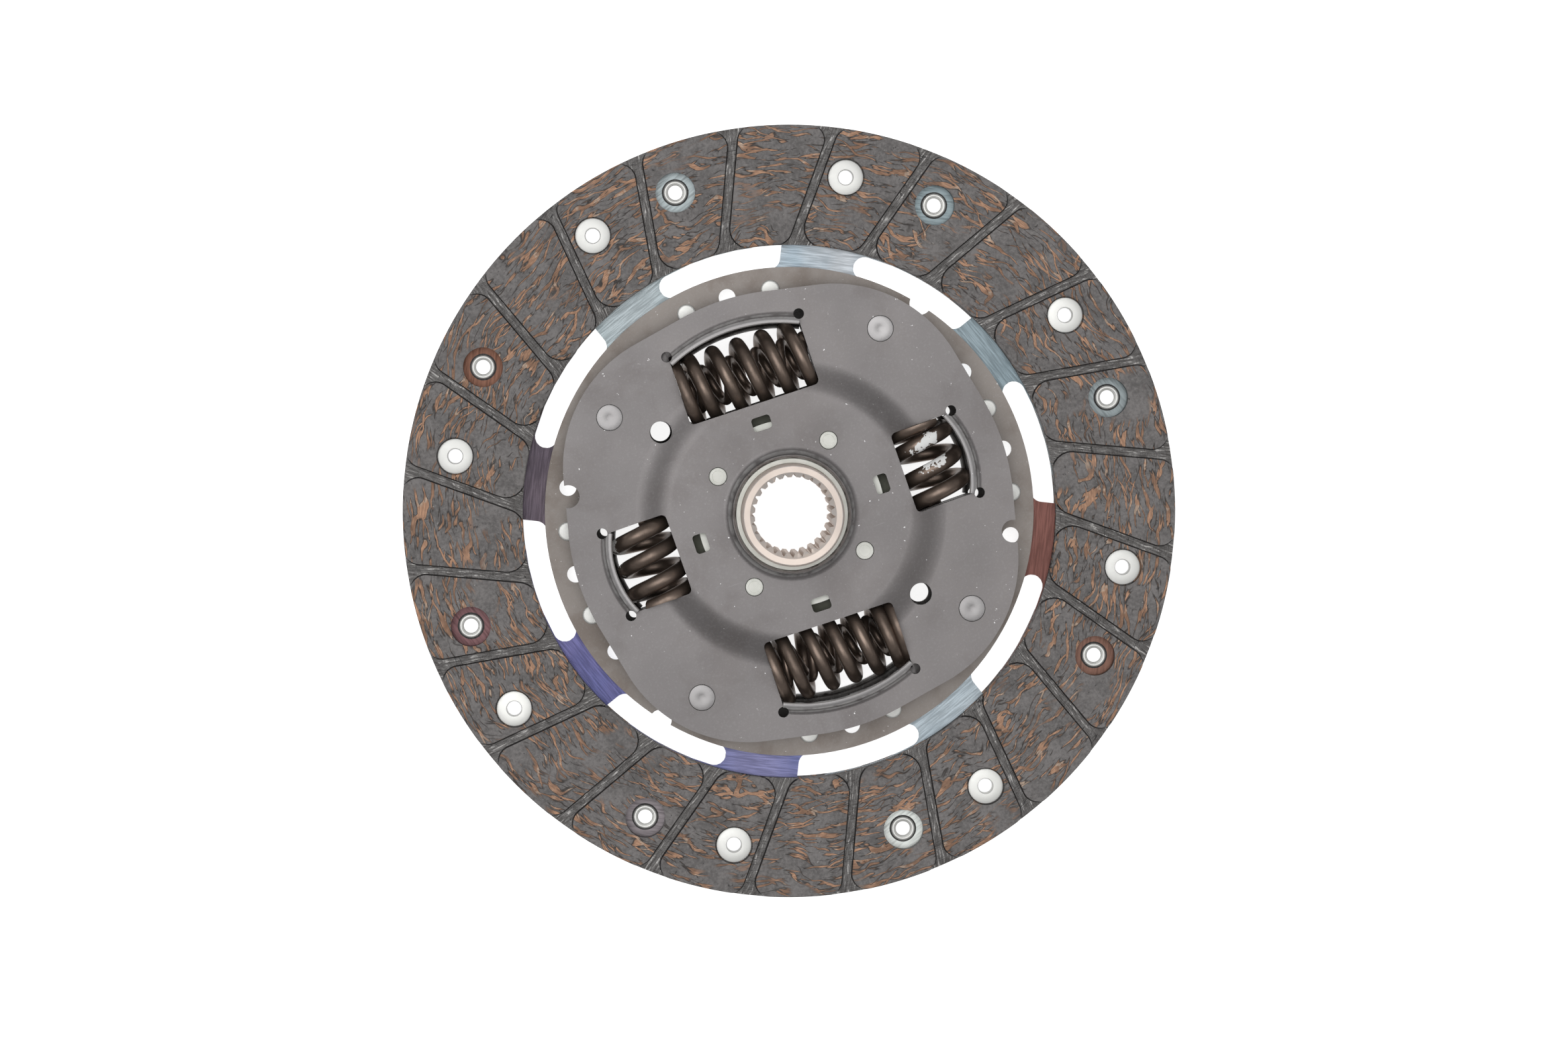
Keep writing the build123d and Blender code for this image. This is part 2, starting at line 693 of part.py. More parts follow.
def main():
    """Builds every piece in place and writes one file for each."""
    front_facing = make_front_facing()
    seat = stack_h - rivet_head_depth - facing_rivet_head_t
    front_rivet = at(facing_rivet_circle_r, 0, seat) * make_facing_rivet()
    rear_rivet = at(facing_rivet_circle_r, 0, stack_h - seat) * Rot(180, 0, 0) * make_facing_rivet()
    segment_rivet = at(segment_rivet_circle_r, 0, neck_z) * make_segment_rivet()
    pin = make_stop_pin()
    pin = Pos(stop_pin_circle_r, 0, drive_plate_z + plate_t) * pin
    pins = [Rot(0, 0, b) * pin for b in stop_pin_bearings()]
    nodes = {
        "front_facing": Pos(0, 0, front_facing_z) * front_facing,
        "rear_facing": make_rear_facing(front_facing),
        "facing_rivets_front": Compound(
            children=around(front_rivet, facing_rivet_count, facing_rivet_first_front)
        ),
        "facing_rivets_rear": Compound(
            children=around(rear_rivet, facing_rivet_count, facing_rivet_first_rear)
        ),
        "segment_rivets": Compound(
            children=around(segment_rivet, segment_rivet_count, segment_rivet_first)
        ),
        "drive_plate": make_drive_plate(),
        "cover_plate": make_cover_plate(),
        "stop_pins": Compound(children=pins),
        "hub": make_hub(),
        "hub_flange": make_hub_flange(),
        "front_bush": make_front_bush(),
        "rear_bush": make_rear_bush(),
        "friction_ring": make_friction_ring(),
        "rear_friction_ring": make_rear_friction_ring(),
        "support_washer": make_support_washer(),
        "disc_spring": make_disc_spring(),
    }
    segment = Pos(0, 0, facing_t) * make_segment()
    for k, copy in enumerate(around(segment, segment_count, segment_foot_bearing)):
        nodes[f"cushion_segment_{k + 1}"] = copy
    nodes.update(make_springs())
    os.makedirs("parts", exist_ok=True)
    for name, shape in nodes.items():
        export_step(shape, f"parts/{name}.step")


if __name__ == "__main__":
    main()
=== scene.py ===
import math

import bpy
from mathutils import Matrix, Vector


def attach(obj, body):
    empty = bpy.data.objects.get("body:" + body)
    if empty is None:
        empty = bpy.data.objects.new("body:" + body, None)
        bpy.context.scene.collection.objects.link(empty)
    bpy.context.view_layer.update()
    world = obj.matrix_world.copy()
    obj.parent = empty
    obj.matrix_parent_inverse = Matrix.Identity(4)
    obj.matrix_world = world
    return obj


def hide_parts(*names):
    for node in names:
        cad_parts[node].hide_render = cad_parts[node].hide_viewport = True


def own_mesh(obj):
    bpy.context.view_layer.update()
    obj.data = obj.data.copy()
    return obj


bl_info = {
    "name": "Clutch Disc",
    "version": (1, 0, 0),
    "blender": (4, 5, 0),
    "location": "View3D > Sidebar > Clutch Disc",
    "description": "Models a dry clutch disc with its torsion damper",
    "category": "Object",
}

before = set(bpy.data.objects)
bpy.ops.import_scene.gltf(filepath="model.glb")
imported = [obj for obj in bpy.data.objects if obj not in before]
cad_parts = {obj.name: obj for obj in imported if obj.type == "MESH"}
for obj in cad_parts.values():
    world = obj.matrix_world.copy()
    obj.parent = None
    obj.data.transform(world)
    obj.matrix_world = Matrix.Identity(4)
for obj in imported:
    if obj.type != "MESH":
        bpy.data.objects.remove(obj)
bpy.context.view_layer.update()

MM = 0.001
FULL_TURN = 2 * math.pi


# Sizes and colours that a user would change


class FacingSettings(bpy.types.PropertyGroup):
    """The two friction facings and their rivets, in millimetres."""

    outer_radius: bpy.props.FloatProperty(
        name="Outer radius", description="Facing's outer edge", default=105.0,
    )
    inner_radius: bpy.props.FloatProperty(
        name="Inner radius", description="Facing's inner edge", default=72.5,
    )
    thickness: bpy.props.FloatProperty(name="Thickness", description="Thickness of one facing", default=3.5)
    grooves: bpy.props.IntProperty(name="Grooves", description="Number of grooves", default=24)
    groove_width: bpy.props.FloatProperty(name="Groove width", description="Width of a groove", default=2.8)
    groove_draft: bpy.props.FloatProperty(
        name="Groove draft", description="Lean of a groove's wall", default=0.34,
    )
    groove_depth: bpy.props.FloatProperty(name="Groove depth", description="Depth of a groove", default=1.1)
    groove_slant: bpy.props.FloatProperty(
        name="Groove slant", description="Lean of a groove from the radius", subtype="ANGLE",
        default=math.radians(15.8),
    )
    rivet_circle: bpy.props.FloatProperty(
        name="Rivet circle", description="Radius of the rivets' circle", default=92.0,
    )
    colour: bpy.props.FloatVectorProperty(
        name="Facing colour", description="Moulded base of the facing", size=3, subtype="COLOR",
        default=(0.155, 0.146, 0.143), min=0, max=1,
    )
    fibre_colour: bpy.props.FloatVectorProperty(
        name="Fibre colour", description="Copper-coloured strands in the facing", size=3, subtype="COLOR",
        default=(0.32, 0.185, 0.118), min=0, max=1,
    )


class PlateSettings(bpy.types.PropertyGroup):
    """The drive plate and the cover plate, in millimetres."""

    thickness: bpy.props.FloatProperty(
        name="Thickness", description="Sheet of both damper plates", default=1.8,
    )
    rim_radius: bpy.props.FloatProperty(name="Rim radius", description="Drive plate's rim", default=66.5)
    cover_radius: bpy.props.FloatProperty(name="Cover radius", description="Cover's plain edge", default=60.3)
    dish: bpy.props.FloatProperty(name="Dish", description="Depth of the pressed middle", default=2.8)
    lip: bpy.props.FloatProperty(name="Lip", description="Height of a window's lip", default=2.3)
    colour: bpy.props.FloatVectorProperty(
        name="Plate colour", description="Phosphated steel of the cover", size=3, subtype="COLOR",
        default=(0.168, 0.157, 0.156), min=0, max=1,
    )


class SpringSettings(bpy.types.PropertyGroup):
    """The damper springs, in millimetres."""

    long_length: bpy.props.FloatProperty(
        name="Long length", description="Length of a long spring", default=36.52,
    )
    short_length: bpy.props.FloatProperty(
        name="Short length", description="Length of a short spring", default=22.52,
    )
    steps: bpy.props.IntProperty(name="Steps", description="Faces along one turn of the wire", default=40)
    colour: bpy.props.FloatVectorProperty(
        name="Wire colour", description="Oil-blackened wire", size=3, subtype="COLOR",
        default=(0.215, 0.165, 0.135), min=0, max=1,
    )


class HubSettings(bpy.types.PropertyGroup):
    """The hub, in millimetres."""

    radius: bpy.props.FloatProperty(name="Radius", description="Outside of the hub's sleeve", default=13.7)
    length: bpy.props.FloatProperty(name="Length", description="Length of the hub", default=32.5)
    teeth: bpy.props.IntProperty(name="Teeth", description="Teeth of the spline", default=28)
    colour: bpy.props.FloatVectorProperty(
        name="Hub colour", description="Machined steel of the hub", size=3, subtype="COLOR",
        default=(0.76, 0.66, 0.59), min=0, max=1,
    )


class StageSettings(bpy.types.PropertyGroup):
    """Floor, light and camera."""

    floor_colour: bpy.props.FloatVectorProperty(
        name="Floor colour", description="Colour of the floor", size=3, subtype="COLOR",
        default=(0.9, 0.9, 0.9), min=0, max=1,
    )
    lamp_power: bpy.props.FloatProperty(
        name="Lamp power", description="Power of the main lamp", default=24.0, unit="POWER",
    )
    world_strength: bpy.props.FloatProperty(
        name="World strength", description="Light from all round", default=0.3,
    )
    lens: bpy.props.FloatProperty(name="Lens", description="Focal length in millimetres", default=129.38)


# Levels above the rear friction face, radii in millimetres and bearings in degrees

STACK_TOP = 8.3
SEGMENT_T = 0.7
SEGMENT_WAVE = 0.6
NECK_Z = 3.8
DRIVE_Z = 4.5
MIDDLE_Z = 11.0
COVER_Z = 15.7
FLANGE_HALF = 2.5
HUB_REAR_Z = 3.0
RIVET_SEAT_Z = 6.25
SPRING_R = 39.3
SHORT_SPRING_R = 39.9
DISH_OUTER_R = 42.3
DISH_INNER_R = 32.2
WINDOW_TURNS = (0.0, 180.0, 91.2, 271.2)
PIN_BEARINGS = (46.0, 134.0, 226.0, 314.0)
PIN_CIRCLE_R = 55.35
FRONT_RIVETS = [17.3 + 45 * k for k in range(8)]
REAR_RIVETS = [1.5 + 45 * k for k in range(8)]
FIRST_GROOVE = 7.6
GROOVE_TO_SEAM = 180 - (FIRST_GROOVE + 165)
SEGMENT_RIVETS = [9.3 + 22.5 * k for k in range(16)]
SEGMENT_RIVET_R = 60.6
FOOT_BEARING = 20.55
PADDLE_BEARING = -11.1
RIVET_CIRCLE_R = 92.0
RIM_HOLES = (-1.95, 20.55, 88.05, 155.55, 178.05, 200.55, 268.05, 335.55)
RIM_NOTCHES = (39.6, 220.1)
COVER_NOTCHES = (157.5, 337.1)
LOCATING_HOLES = (129.9, 309.9)
LOCATING_R = 41.4
STUD_BEARINGS = (45, 135, 225, 315)
STUD_R = 22.16
HUB_SEAT_R = 16.3
SPLINE_TIP_R = 10.275
SPLINE_ROOT_R = 11.25
SPLINE_TOOTH_SHARE = 0.44
FLANGE_R = 49.8
FLANGE_LOBE_R = 57.3
FLANGE_LOBE_HALF = 31.4
PLATE_EDGE = 0.16

# A window's half length, and how far its inner edge, its outer corners and its arch's peak stand out
LONG_WINDOW = (18.3, 31.0, 47.6, 51.7)
SHORT_WINDOW = (11.3, 32.2, 47.05, 49.7)
REAR_LONG_WINDOW = (18.3, 31.0, 46.1, 50.2)
REAR_SHORT_WINDOW = (11.3, 32.2, 46.0, 48.65)

# The camera's turn about the shaft, its place in millimetres and its leans about Y and X, in degrees
CAMERA_TURN = -18.2
CAMERA_SPOT = (-54.54, 56.81, 1528.45 + STACK_TOP)
CAMERA_LEANS = (-1.984, -2.199)

# Seed, sway and stretch of the facing's layers of strands
STRAND_LAYERS = ((0.0, 0.014, 115.0), (3.7, 0.020, 140.0), (8.9, 0.026, 100.0))
# A facing's shading leaves out its rims by this much, and calls a face level above this normal
RIM_MARGIN = 0.35
LEVEL_NORMAL = 0.93


# Modelling helpers


def polar(radius, bearing, z=0.0):
    """A point on a circle about the shaft, in millimetres."""
    angle = math.radians(bearing)
    return Vector((radius * math.cos(angle), radius * math.sin(angle), z))


def spots(radius, bearings):
    """The (x, y) places on a circle at these bearings."""
    return [polar(radius, bearing).xy for bearing in bearings]


def arc(cx, cy, radius, start, end, count):
    """Points along an arc in a plane, from a start to an end angle in degrees."""
    points = []
    for k in range(count + 1):
        angle = math.radians(start + (end - start) * k / count)
        points.append((cx + radius * math.cos(angle), cy + radius * math.sin(angle)))
    return points


def deselect():
    """Leaves edit mode and selects nothing."""
    active = bpy.context.view_layer.objects.active
    if active is not None and active.mode != "OBJECT":
        bpy.ops.object.mode_set(mode="OBJECT")
    bpy.ops.object.select_all(action="DESELECT")


def pick(*objects):
    """Selects these objects and makes the first one active."""
    deselect()
    for item in objects:
        item.select_set(True)
    bpy.context.view_layer.objects.active = objects[0]


def edit(piece, mode="VERT"):
    """Opens a piece in edit mode with all of it selected."""
    pick(piece)
    bpy.ops.object.mode_set(mode="EDIT")
    bpy.ops.mesh.select_mode(type=mode)
    bpy.ops.mesh.select_all(action="SELECT")


def close(piece):
    """Leaves edit mode."""
    bpy.ops.object.mode_set(mode="OBJECT")
    return piece


def outwards(piece):
    """Turns a closed mesh's faces outwards and leaves edit mode."""
    bpy.ops.mesh.select_all(action="SELECT")
    bpy.ops.mesh.normals_make_consistent(inside=False)
    return close(piece)


def trace(name, points):
    """A flat face with its corners on these points, in millimetres."""
    deselect()
    bpy.ops.mesh.primitive_circle_add(vertices=len(points), radius=MM, fill_type="NGON")
    piece = bpy.context.object
    piece.name = name
    piece.data.name = name
    for vertex, point in zip(piece.data.vertices, points):
        vertex.co = Vector(point) * MM
    return piece


def slab(name, outline, low, high):
    """An upright solid from a flat outline."""
    piece = trace(name, [(x, y, low) for x, y in outline])
    edit(piece, "FACE")
    bpy.ops.mesh.extrude_region_move(TRANSFORM_OT_translate={"value": (0, 0, (high - low) * MM)})
    return outwards(piece)


def turned(name, profile, steps=96):
    """A closed ring or knob spun about the shaft axis from (radius, height) points."""
    piece = trace(name, [(r, 0, z) for r, z in profile])
    edit(piece, "FACE")
    bpy.ops.mesh.delete(type="ONLY_FACE")
    bpy.ops.mesh.select_mode(type="VERT")
    bpy.ops.mesh.select_all(action="SELECT")
    bpy.ops.mesh.spin(steps=steps, angle=FULL_TURN, center=(0, 0, 0), axis=(0, 0, 1))
    bpy.ops.mesh.select_all(action="SELECT")
    bpy.ops.mesh.remove_doubles(threshold=1e-6)
    bpy.ops.mesh.delete_loose(use_verts=True, use_edges=True, use_faces=False)
    return outwards(piece)


def post(name, radius, low, high, place=(0, 0), vertices=48):
    """A round post used to cut a hole."""
    deselect()
    depth = (high - low) * MM
    bpy.ops.mesh.primitive_cylinder_add(vertices=vertices, radius=radius * MM, depth=depth)
    piece = bpy.context.object
    piece.name = name
    piece.data.transform(Matrix.Translation(Vector((place[0], place[1], (low + high) / 2)) * MM))
    return piece


def moved(piece, matrix):
    """Moves a piece's mesh and leaves its object at the origin."""
    piece.data.transform(matrix)
    piece.data.update()
    return piece


def twin(piece, matrix):
    """A copy of a piece with its own mesh, in another place."""
    copy = piece.copy()
    copy.data = piece.data.copy()
    bpy.context.scene.collection.objects.link(copy)
    return moved(copy, matrix)


def turn_by(degrees):
    """A turn about the shaft axis."""
    return Matrix.Rotation(math.radians(degrees), 4, "Z")


def shift_by(x, y, z):
    """A shift in millimetres."""
    return Matrix.Translation(Vector((x, y, z)) * MM)


def join(pieces, name):
    """Joins pieces into the first one."""
    pick(*pieces)
    if len(pieces) > 1:
        bpy.ops.object.join()
    piece = bpy.context.object
    piece.name = name
    piece.data.name = name
    return piece


def ring_of(piece, bearings, name):
    """One object with a copy of a piece at each bearing; the piece itself is used up."""
    copies = [twin(piece, turn_by(bearing)) for bearing in bearings]
    bpy.data.objects.remove(piece)
    return join(copies, name)


def apply_modifier(piece, kind, **settings):
    """Adds a modifier, sets it and applies it."""
    pick(piece)
    modifier = piece.modifiers.new(kind.lower(), kind)
    for key, value in settings.items():
        setattr(modifier, key, value)
    bpy.ops.object.modifier_apply(modifier=modifier.name)
    return piece


def combine(piece, tool, operation="DIFFERENCE"):
    """Cuts, joins or crops a piece with a tool, and uses the tool up."""
    apply_modifier(piece, "BOOLEAN", object=tool, operation=operation, solver="EXACT")
    bpy.data.objects.remove(tool)
    return piece


def cut_holes(piece, radius, places, low, high, vertices=48):
    """Cuts round holes at these (x, y) places."""
    posts = [post("cutter", radius, low, high, place, vertices) for place in places]
    return combine(piece, join(posts, "cutter"))


def soften(piece, width, segments=2, angle=40):
    """Rounds a piece's sharp edges."""
    return apply_modifier(
        piece, "BEVEL", width=width * MM, segments=segments, limit_method="ANGLE",
        angle_limit=math.radians(angle), harden_normals=False, miter_outer="MITER_ARC",
    )


def finish(piece, material, angle, weighted=False):
    """Smooth shading up to an angle, and the piece's material."""
    pick(piece)
    bpy.ops.object.shade_smooth_by_angle(angle=math.radians(angle))
    if weighted:
        apply_modifier(piece, "WEIGHTED_NORMAL", keep_sharp=True, weight=60)
    piece.data.materials.clear()
    piece.data.materials.append(material)
    return piece


def place(piece, node, body, slot):
    """Puts a finished piece in a CAD node's stead."""
    piece.name = f"{node}_detail"
    piece.data.name = piece.name
    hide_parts(node)
    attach(piece, body)


def rounded(corners, steps=6):
    """A closed outline with each (x, y, radius) corner rounded off."""
    points = []
    count = len(corners)
    for k, (x, y, radius) in enumerate(corners):
        corner = Vector((x, y))
        if radius <= 0:
            points.append((x, y))
            continue
        before = (Vector(corners[k - 1][:2]) - corner).normalized()
        after = (Vector(corners[(k + 1) % count][:2]) - corner).normalized()
        half = before.angle(after) / 2
        start = corner + before * radius / math.tan(half)
        end = corner + after * radius / math.tan(half)
        centre = corner + (before + after).normalized() * radius / math.sin(half)
        for j in range(steps + 1):
            spoke = (start - centre).lerp(end - centre, j / steps).normalized()
            points.append(tuple(centre + spoke * radius))
    return points


# Shader helpers


def node(tree, kind, inputs=None, **settings):
    """A shader node with its inputs linked or set."""
    made = tree.nodes.new(kind)
    for key, value in settings.items():
        setattr(made, key, value)
    for key, value in (inputs or {}).items():
        socket = made.inputs[key]
        if isinstance(value, bpy.types.NodeSocket):
            tree.links.new(value, socket)
        else:
            socket.default_value = value
    return made


def calc(tree, operation, first, second=0.0, third=0.0, clamp=False):
    """A maths node's result."""
    made = node(tree, "ShaderNodeMath", {0: first, 1: second, 2: third}, operation=operation, use_clamp=clamp)
    return made.outputs[0]


def times(tree, first, second, clamp=False):
    """The product of two values."""
    return calc(tree, "MULTIPLY", first, second, clamp=clamp)


def plus(tree, first, second):
    """The sum of two values."""
    return calc(tree, "ADD", first, second)


def minus(tree, first, second, clamp=False):
    """The difference of two values."""
    return calc(tree, "SUBTRACT", first, second, clamp=clamp)


def largest(tree, values):
    """The largest of some values."""
    most = values[0]
    for value in values[1:]:
        most = calc(tree, "MAXIMUM", most, value)
    return most


def remap(tree, value, low, high):
    """How far a value is on its way from low to high, smoothly and clamped to 0 and 1."""
    inputs = {"Value": value, 1: low, 2: high, 3: 0.0, 4: 1.0}
    return node(tree, "ShaderNodeMapRange", inputs, interpolation_type="SMOOTHSTEP").outputs["Result"]


def distance(tree, vector, spot):
    """How far a place is from a spot, in metres."""
    return node(tree, "ShaderNodeVectorMath", {0: vector, 1: spot}, operation="DISTANCE").outputs["Value"]


def from_shaft(tree, vector):
    """A place's height, its flat part and its distance from the shaft."""
    split = node(tree, "ShaderNodeSeparateXYZ", {"Vector": vector}).outputs
    flat = node(tree, "ShaderNodeCombineXYZ", {"X": split["X"], "Y": split["Y"]}).outputs[0]
    radius = node(tree, "ShaderNodeVectorMath", {0: flat}, operation="LENGTH").outputs["Value"]
    return split["Z"], flat, radius


def normal_height(tree):
    """The upward part of the surface's normal."""
    normal = node(tree, "ShaderNodeNewGeometry").outputs["Normal"]
    return node(tree, "ShaderNodeSeparateXYZ", {"Vector": normal}).outputs["Z"]


def blend(tree, factor, first, second, mode="MIX"):
    """Two colours mixed by a factor."""
    made = node(tree, "ShaderNodeMix", data_type="RGBA", blend_type=mode)
    for index, value in ((0, factor), (6, first), (7, second)):
        if isinstance(value, bpy.types.NodeSocket):
            tree.links.new(value, made.inputs[index])
        elif index == 0:
            made.inputs[0].default_value = value
        else:
            made.inputs[index].default_value = (*value[:3], 1.0)
    return made.outputs[2]


def noise(tree, vector, scale, detail=3.0, roughness=0.55, distortion=0.0):
    """A noise texture's value."""
    inputs = {"Vector": vector, "Scale": scale, "Detail": detail, "Roughness": roughness}
    inputs["Distortion"] = distortion
    return node(tree, "ShaderNodeTexNoise", inputs).outputs["Fac"]


def group(name, inputs, outputs, build):
    """A shader node group, made once."""
    tree = bpy.data.node_groups.get(name)
    if tree is not None:
        return tree
    tree = bpy.data.node_groups.new(name, "ShaderNodeTree")
    for label, kind, default in inputs:
        socket = tree.interface.new_socket(name=label, in_out="INPUT", socket_type=kind)
        if default is not None:
            socket.default_value = default
    for label, kind in outputs:
        tree.interface.new_socket(name=label, in_out="OUTPUT", socket_type=kind)
    source = tree.nodes.new("NodeGroupInput")
    sink = tree.nodes.new("NodeGroupOutput")
    for label, value in build(tree, source.outputs).items():
        tree.links.new(value, sink.inputs[label])
    return tree


def place_group(tree, made, inputs):
    """A group placed in a material, with its inputs set."""
    holder = tree.nodes.new("ShaderNodeGroup")
    holder.node_tree = made
    for key, value in inputs.items():
        socket = holder.inputs[key]
        if isinstance(value, bpy.types.NodeSocket):
            tree.links.new(value, socket)
        elif socket.type == "RGBA":
            socket.default_value = (*value[:3], 1.0)
        else:
            socket.default_value = value
    return holder.outputs


def steel_grain():
    """Group: satin steel with a faint cloud, a fine grain, rare pale specks and bright worn edges."""

    def build(tree, given):
        vector = given["Vector"]
        cloud = remap(tree, noise(tree, vector, 34, 3, 0.55, 0.3), 0.32, 0.7)
        grain = noise(tree, vector, 1500, 2, 0.6)
        speck = remap(tree, noise(tree, vector, 700, 2, 0.8), 0.725, 0.76)
        stained = times(tree, cloud, given["Stain"])
        colour = blend(tree, stained, given["Base"], given["Stain Colour"])
        light = times(tree, minus(tree, grain, 0.5), 0.16, clamp=True)
        colour = blend(tree, light, colour, (1, 1, 1))
        colour = blend(tree, times(tree, speck, given["Specks"]), colour, (0.8, 0.8, 0.8))
        up = calc(tree, "ABSOLUTE", normal_height(tree))
        slope = times(tree, remap(tree, up, 0.88, 0.80), remap(tree, up, 0.3, 0.45))
        broken = remap(tree, noise(tree, vector, 300, 3, 0.6), 0.30, 0.60)
        worn = times(tree, times(tree, slope, broken), given["Wear"])
        colour = blend(tree, worn, colour, (0.55, 0.54, 0.53))
        rough = plus(tree, given["Roughness"], times(tree, minus(tree, cloud, 0.5), 0.06))
        rough = plus(tree, rough, times(tree, minus(tree, grain, 0.5), 0.12))
        return {"Colour": colour, "Roughness": rough, "Height": grain}

    return group(
        "steel_grain",
        (
            ("Vector", "NodeSocketVector", None),
            ("Base", "NodeSocketColor", (0.2, 0.2, 0.2, 1)),
            ("Stain Colour", "NodeSocketColor", (0.1, 0.1, 0.1, 1)),
            ("Stain", "NodeSocketFloat", 0.5),
            ("Specks", "NodeSocketFloat", 0.5),
            ("Wear", "NodeSocketFloat", 0.5),
            ("Roughness", "NodeSocketFloat", 0.45),
        ),
        (("Colour", "NodeSocketColor"), ("Roughness", "NodeSocketFloat"), ("Height", "NodeSocketFloat")),
        build,
    )


def new_material(name):
    """An empty material with a Principled BSDF, and its Object coordinates."""
    material = bpy.data.materials.new(name)
    material.use_nodes = True
    tree = material.node_tree
    shader = tree.nodes["Principled BSDF"]
    coordinates = node(tree, "ShaderNodeTexCoord").outputs["Object"]
    return material, tree, shader, coordinates


def bump(tree, shader, height, strength, distance):
    """Feeds a height through a bump node into the shader."""
    made = node(tree, "ShaderNodeBump", {"Strength": strength, "Distance": distance * MM, "Height": height})
    tree.links.new(made.outputs["Normal"], shader.inputs["Normal"])


def lay_grain(tree, shader, inputs, metallic):
    """Feeds the shared steel grain into the shader."""
    grain = place_group(tree, steel_grain(), inputs)
    tree.links.new(grain["Colour"], shader.inputs["Base Color"])
    tree.links.new(grain["Roughness"], shader.inputs["Roughness"])
    shader.inputs["Metallic"].default_value = metallic
    bump(tree, shader, grain["Height"], 0.25, 0.03)


def steel(name, base, stain_colour, stain, specks, roughness, metallic, wear):
    """A steel finish from the shared grain."""
    material, tree, shader, vector = new_material(name)
    inputs = {
        "Vector": vector, "Base": base, "Stain Colour": stain_colour, "Stain": stain,
        "Specks": specks, "Wear": wear, "Roughness": roughness,
    }
    lay_grain(tree, shader, inputs, metallic)
    return material


def facing_swirl():
    """Group: a place on a facing as metres along the circle and from the shaft, in step with the grooves."""

    def build(tree, given):
        settings = bpy.context.scene.clutch_facing
        middle = (settings.outer_radius + settings.inner_radius) / 2 * MM
        level, flat, radius = from_shaft(tree, given["Vector"])
        lean = minus(tree, 1.0, calc(tree, "DIVIDE", middle, radius))
        lean = times(tree, lean, math.tan(settings.groove_slant))
        lean = plus(tree, lean, math.radians(GROOVE_TO_SEAM))
        turn = node(tree, "ShaderNodeVectorRotate", {"Vector": flat, "Angle": lean}, rotation_type="Z_AXIS")
        spun = node(tree, "ShaderNodeSeparateXYZ", {"Vector": turn.outputs[0]}).outputs
        angle = calc(tree, "ARCTAN2", spun["Y"], spun["X"])
        return {"Along": times(tree, angle, middle), "Radius": radius, "Level": level}

    return group(
        "facing_swirl",
        (("Vector", "NodeSocketVector", None),),
        (("Along", "NodeSocketFloat"), ("Radius", "NodeSocketFloat"), ("Level", "NodeSocketFloat")),
        build,
    )


def strand_layer():
    """Group: one layer of drawn-out strands. Mask is 1 on a strand, Edge is 1 in the crevice round it."""

    def build(tree, given):
        along = given["Along"]
        radius = given["Radius"]
        place = node(tree, "ShaderNodeCombineXYZ", {"X": along, "Y": radius, "Z": given["Seed"]}).outputs[0]
        wave = minus(tree, noise(tree, place, 42, 1, 0.5), 0.5)
        curl = minus(tree, noise(tree, place, 170, 1, 0.5), 0.5)
        lift = times(tree, wave, given["Sway"])
        lift = plus(tree, lift, times(tree, curl, 0.003))
        across = times(tree, plus(tree, radius, lift), 850.0)
        inputs = {"X": times(tree, along, given["Stretch"]), "Y": across, "Z": given["Seed"]}
        field = noise(tree, node(tree, "ShaderNodeCombineXYZ", inputs).outputs[0], 1.0, 2, 0.45)
        return {"Mask": remap(tree, field, 0.612, 0.640), "Edge": remap(tree, field, 0.570, 0.610)}

    return group(
        "strand_layer",
        (
            ("Along", "NodeSocketFloat", 0.0),
            ("Radius", "NodeSocketFloat", 0.0),
            ("Seed", "NodeSocketFloat", 0.0),
            ("Sway", "NodeSocketFloat", 0.02),
            ("Stretch", "NodeSocketFloat", 130.0),
        ),
        (("Mask", "NodeSocketFloat"), ("Edge", "NodeSocketFloat")),
        build,
    )


def streaks(tree, swirl, along, across):
    """A place on a facing, stretched along and across the circle."""
    inputs = {"X": times(tree, swirl["Along"], along), "Y": times(tree, swirl["Radius"], across)}
    return node(tree, "ShaderNodeCombineXYZ", inputs).outputs[0]


